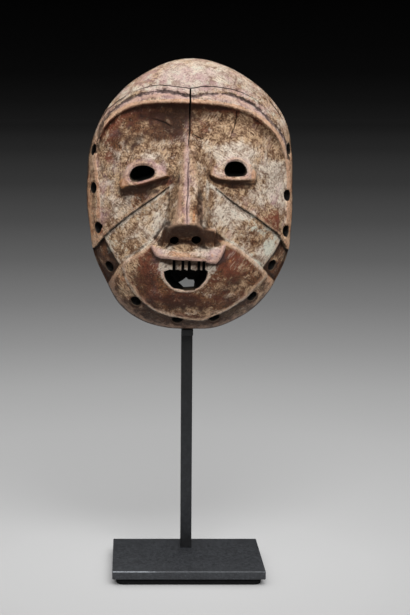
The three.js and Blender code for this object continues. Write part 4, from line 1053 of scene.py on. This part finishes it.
def blackSteel():  # matt black paint, rubbed to bright metal in a broken line along the plate's front top edge, over a faint painted highlight along the whole edge
    p = Paint(bpy.data.materials.new("blackSteel"))
    across, back, high = p.split(p.places)
    front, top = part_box("base_plate")[0].y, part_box("base_plate")[1].z
    mottle, dust = p.noise(700, 4, 0.65), p.noise(2400, 3, 0.6, shift=(0, 0.3, 0))
    cloudy = p.noise(90, 3, 0.5, shift=(0.2, 0, 0))
    p.colour = p.mix(p.between(0.3, 0.75, mottle), (34, 36, 39), (58, 60, 64))
    p.coat(p.between(0.55, 0.8, dust) * 0.35, (110, 112, 116))
    p.coat(p.between(0.4, 0.7, cloudy) * 0.3, (26, 26, 29))
    # partly rubbed metal, partly painted highlight: the pale line covers the whole front top edge faintly and is
    # brighter where rubbed
    onEdge = p.between(0.0009, 0.0004, back - front) * p.between(0.0007, 0.0003, top - high)
    broken = p.between(0.46, 0.6, dust * 0.6 + mottle * 0.4 + p.between(0, -0.03, across) * 0.08)
    leftPart = p.between(-0.012, -0.024, across)
    p.coat(onEdge * (broken * (leftPart * 0.8 + 0.15) + 0.1), (140, 144, 150))
    p.coat(p.between(0.62, 0.7, dust) * p.between(0.02, 0, back - front) * 0.5, (150, 153, 160))
    onRod = p.between(0.0081, 0.0085, high)  # painted shade: the rod is darker at its foot and toward the mask above it
    rodShade = 0.45 + p.between(0.03, 0.13, high) * 0.45 + p.between(0.02, 0.012, high) * 0.4
    p.coat(onRod * rodShade, (10, 10, 11))
    return p.finish(0.5 + (mottle - 0.5) * 0.3, 0.4, mottle * 0.6 + dust * 0.5, 0.35, 0.0002)


def blackFelt():
    p = Paint(bpy.data.materials.new("blackFelt"))
    fuzz, tuft = p.noise(5200, 2, 0.6), p.noise(1100, 3, 0.6, shift=(0.1, 0, 0))
    p.colour = p.mix(p.between(0.35, 0.7, fuzz), (14, 14, 15), (34, 34, 35))
    return p.finish(0.95, 0.1, fuzz * 0.7 + tuft * 0.5, 0.8, 0.0004)


def makeStand():
    s, steel = stand, blackSteel()
    box = lambda node: [np.array(v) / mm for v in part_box(node)]
    plate = roundedSlab(*box("base_plate"), s["plateCorner"], s["plateBevel"])
    standPiece("base_plate_steel", "base_plate", [plate], steel)
    pad = roundedSlab(*box("felt_pad"), s["padCorner"], s["padBevel"])
    standPiece("felt_pad_cut", "felt_pad", [pad], blackFelt())
    low, high = box("stand_rod")
    front, end = s["rodFront"], s["rodFront"] + s["overlap"]
    shaft = roundedSlab((low[0], front, low[2]), high, s["barCorner"], s["barBevel"])
    ends = [((low[0], low[1], s["ledgeLow"]), (high[0], end, s["ledgeLow"] + s["ledgeThick"])),
            ((-s["tongueHalf"], s["tongueFront"], high[2] - s["tongueHigh"]), (s["tongueHalf"], end, high[2]))]
    ledge, tongue = [roundedSlab(*corners, s["ledgeCorner"], s["barBevel"], axis=1) for corners in ends]
    standPiece("stand_rod_steel", "stand_rod", [shaft, ledge, tongue], steel)


makeStand()
print("stand made")


room = {
    "floorReach": 500,
    # tones from 0 to 255: the floor by distance, a painted falloff of light, and the room behind it by height
    "floorTones": [
        (0, 206), (0.16, 195), (0.2, 188), (0.3, 172), (0.36, 156), (0.41, 135), (0.46, 113), (0.52, 88),
        (0.58, 68), (0.66, 49), (0.78, 34), (0.92, 25), (1, 22)],
    "roomTones": [(0, 23), (0.012, 16.5), (0.03, 9), (0.05, 6), (0.08, 3)],
    # name, strength, degrees round from the front, degrees up, and how wide the lamp looks
    "lamps": [("key", 2.35, 8, 46, 44), ("fill", 0.45, -16, 30, 90)],
    # the camera looks straight at this column of a picture of this width and height
    "eye": (-0.0316, -0.761, 0.2416), "down": 7.42, "lens": 85, "sensor": 36,
    "column": 128.3, "picture": (410, 615),
}


def floorPaint():  # painted light: pale near the mask and darker far away, the falloff of a studio sweep lit from above painted into the floor's colour
    p = Paint(bpy.data.materials.new("studioFloor"))
    across, deep, _ = p.split(p.places)
    away = p.maths("SQRT", across * across + deep * deep)
    share = p.maths("LOGARITHM", away * 20 + 1, 10) / 3
    p.colour = p.add("ValToRGB", {"greys": room["floorTones"]}, {"Fac": share}, "Color")
    return p.finish(1, 0)


def studio():  # floor, room and two soft lamps
    reach = room["floorReach"]
    mesh = bpy.data.meshes.new("floor")
    corners = [(-reach, -reach, 0), (reach, -reach, 0), (reach, reach, 0), (-reach, reach, 0)]
    mesh.from_pydata(corners, [], [(0, 1, 2, 3)])
    floor = linked("floor", mesh)
    mesh.materials.append(floorPaint())
    world = bpy.data.worlds.new("studio")
    bpy.context.scene.world = world
    p = Paint(world)
    high = p.split(p.add("TexCoord", output="Generated"))[2]
    low = p.add("ValToRGB", {"greys": room["roomTones"]}, {"Fac": high}, "Color")
    p.plug(p.tree.nodes["Background"].inputs["Color"], p.mix(p.between(0.35, 0.95, high), low, (250, 250, 250)))
    for name, energy, azimuth, height, size in room["lamps"]:
        light = bpy.data.lights.new(name, "SUN")
        light.energy, light.angle = energy, math.radians(size)
        a, h = math.radians(azimuth), math.radians(height)
        toward = Vector((math.sin(a) * math.cos(h), -math.cos(a) * math.cos(h), math.sin(h)))
        linked(name, light).rotation_euler = toward.to_track_quat("Z", "Y").to_euler()


def camera():
    v, lens = room, bpy.data.cameras.new("camera")
    lens.lens, lens.sensor_width, lens.clip_start = v["lens"], v["sensor"], 0.01
    lens.shift_x = (v["picture"][0] / 2 - v["column"]) / v["picture"][1]
    eye = linked("camera", lens)
    eye.location, eye.rotation_euler = v["eye"], (math.radians(90 - v["down"]), 0, 0)
    bpy.context.scene.camera = eye


studio()
camera()
bpy.context.scene.view_settings.view_transform = "Standard"
print("studio and camera ready")
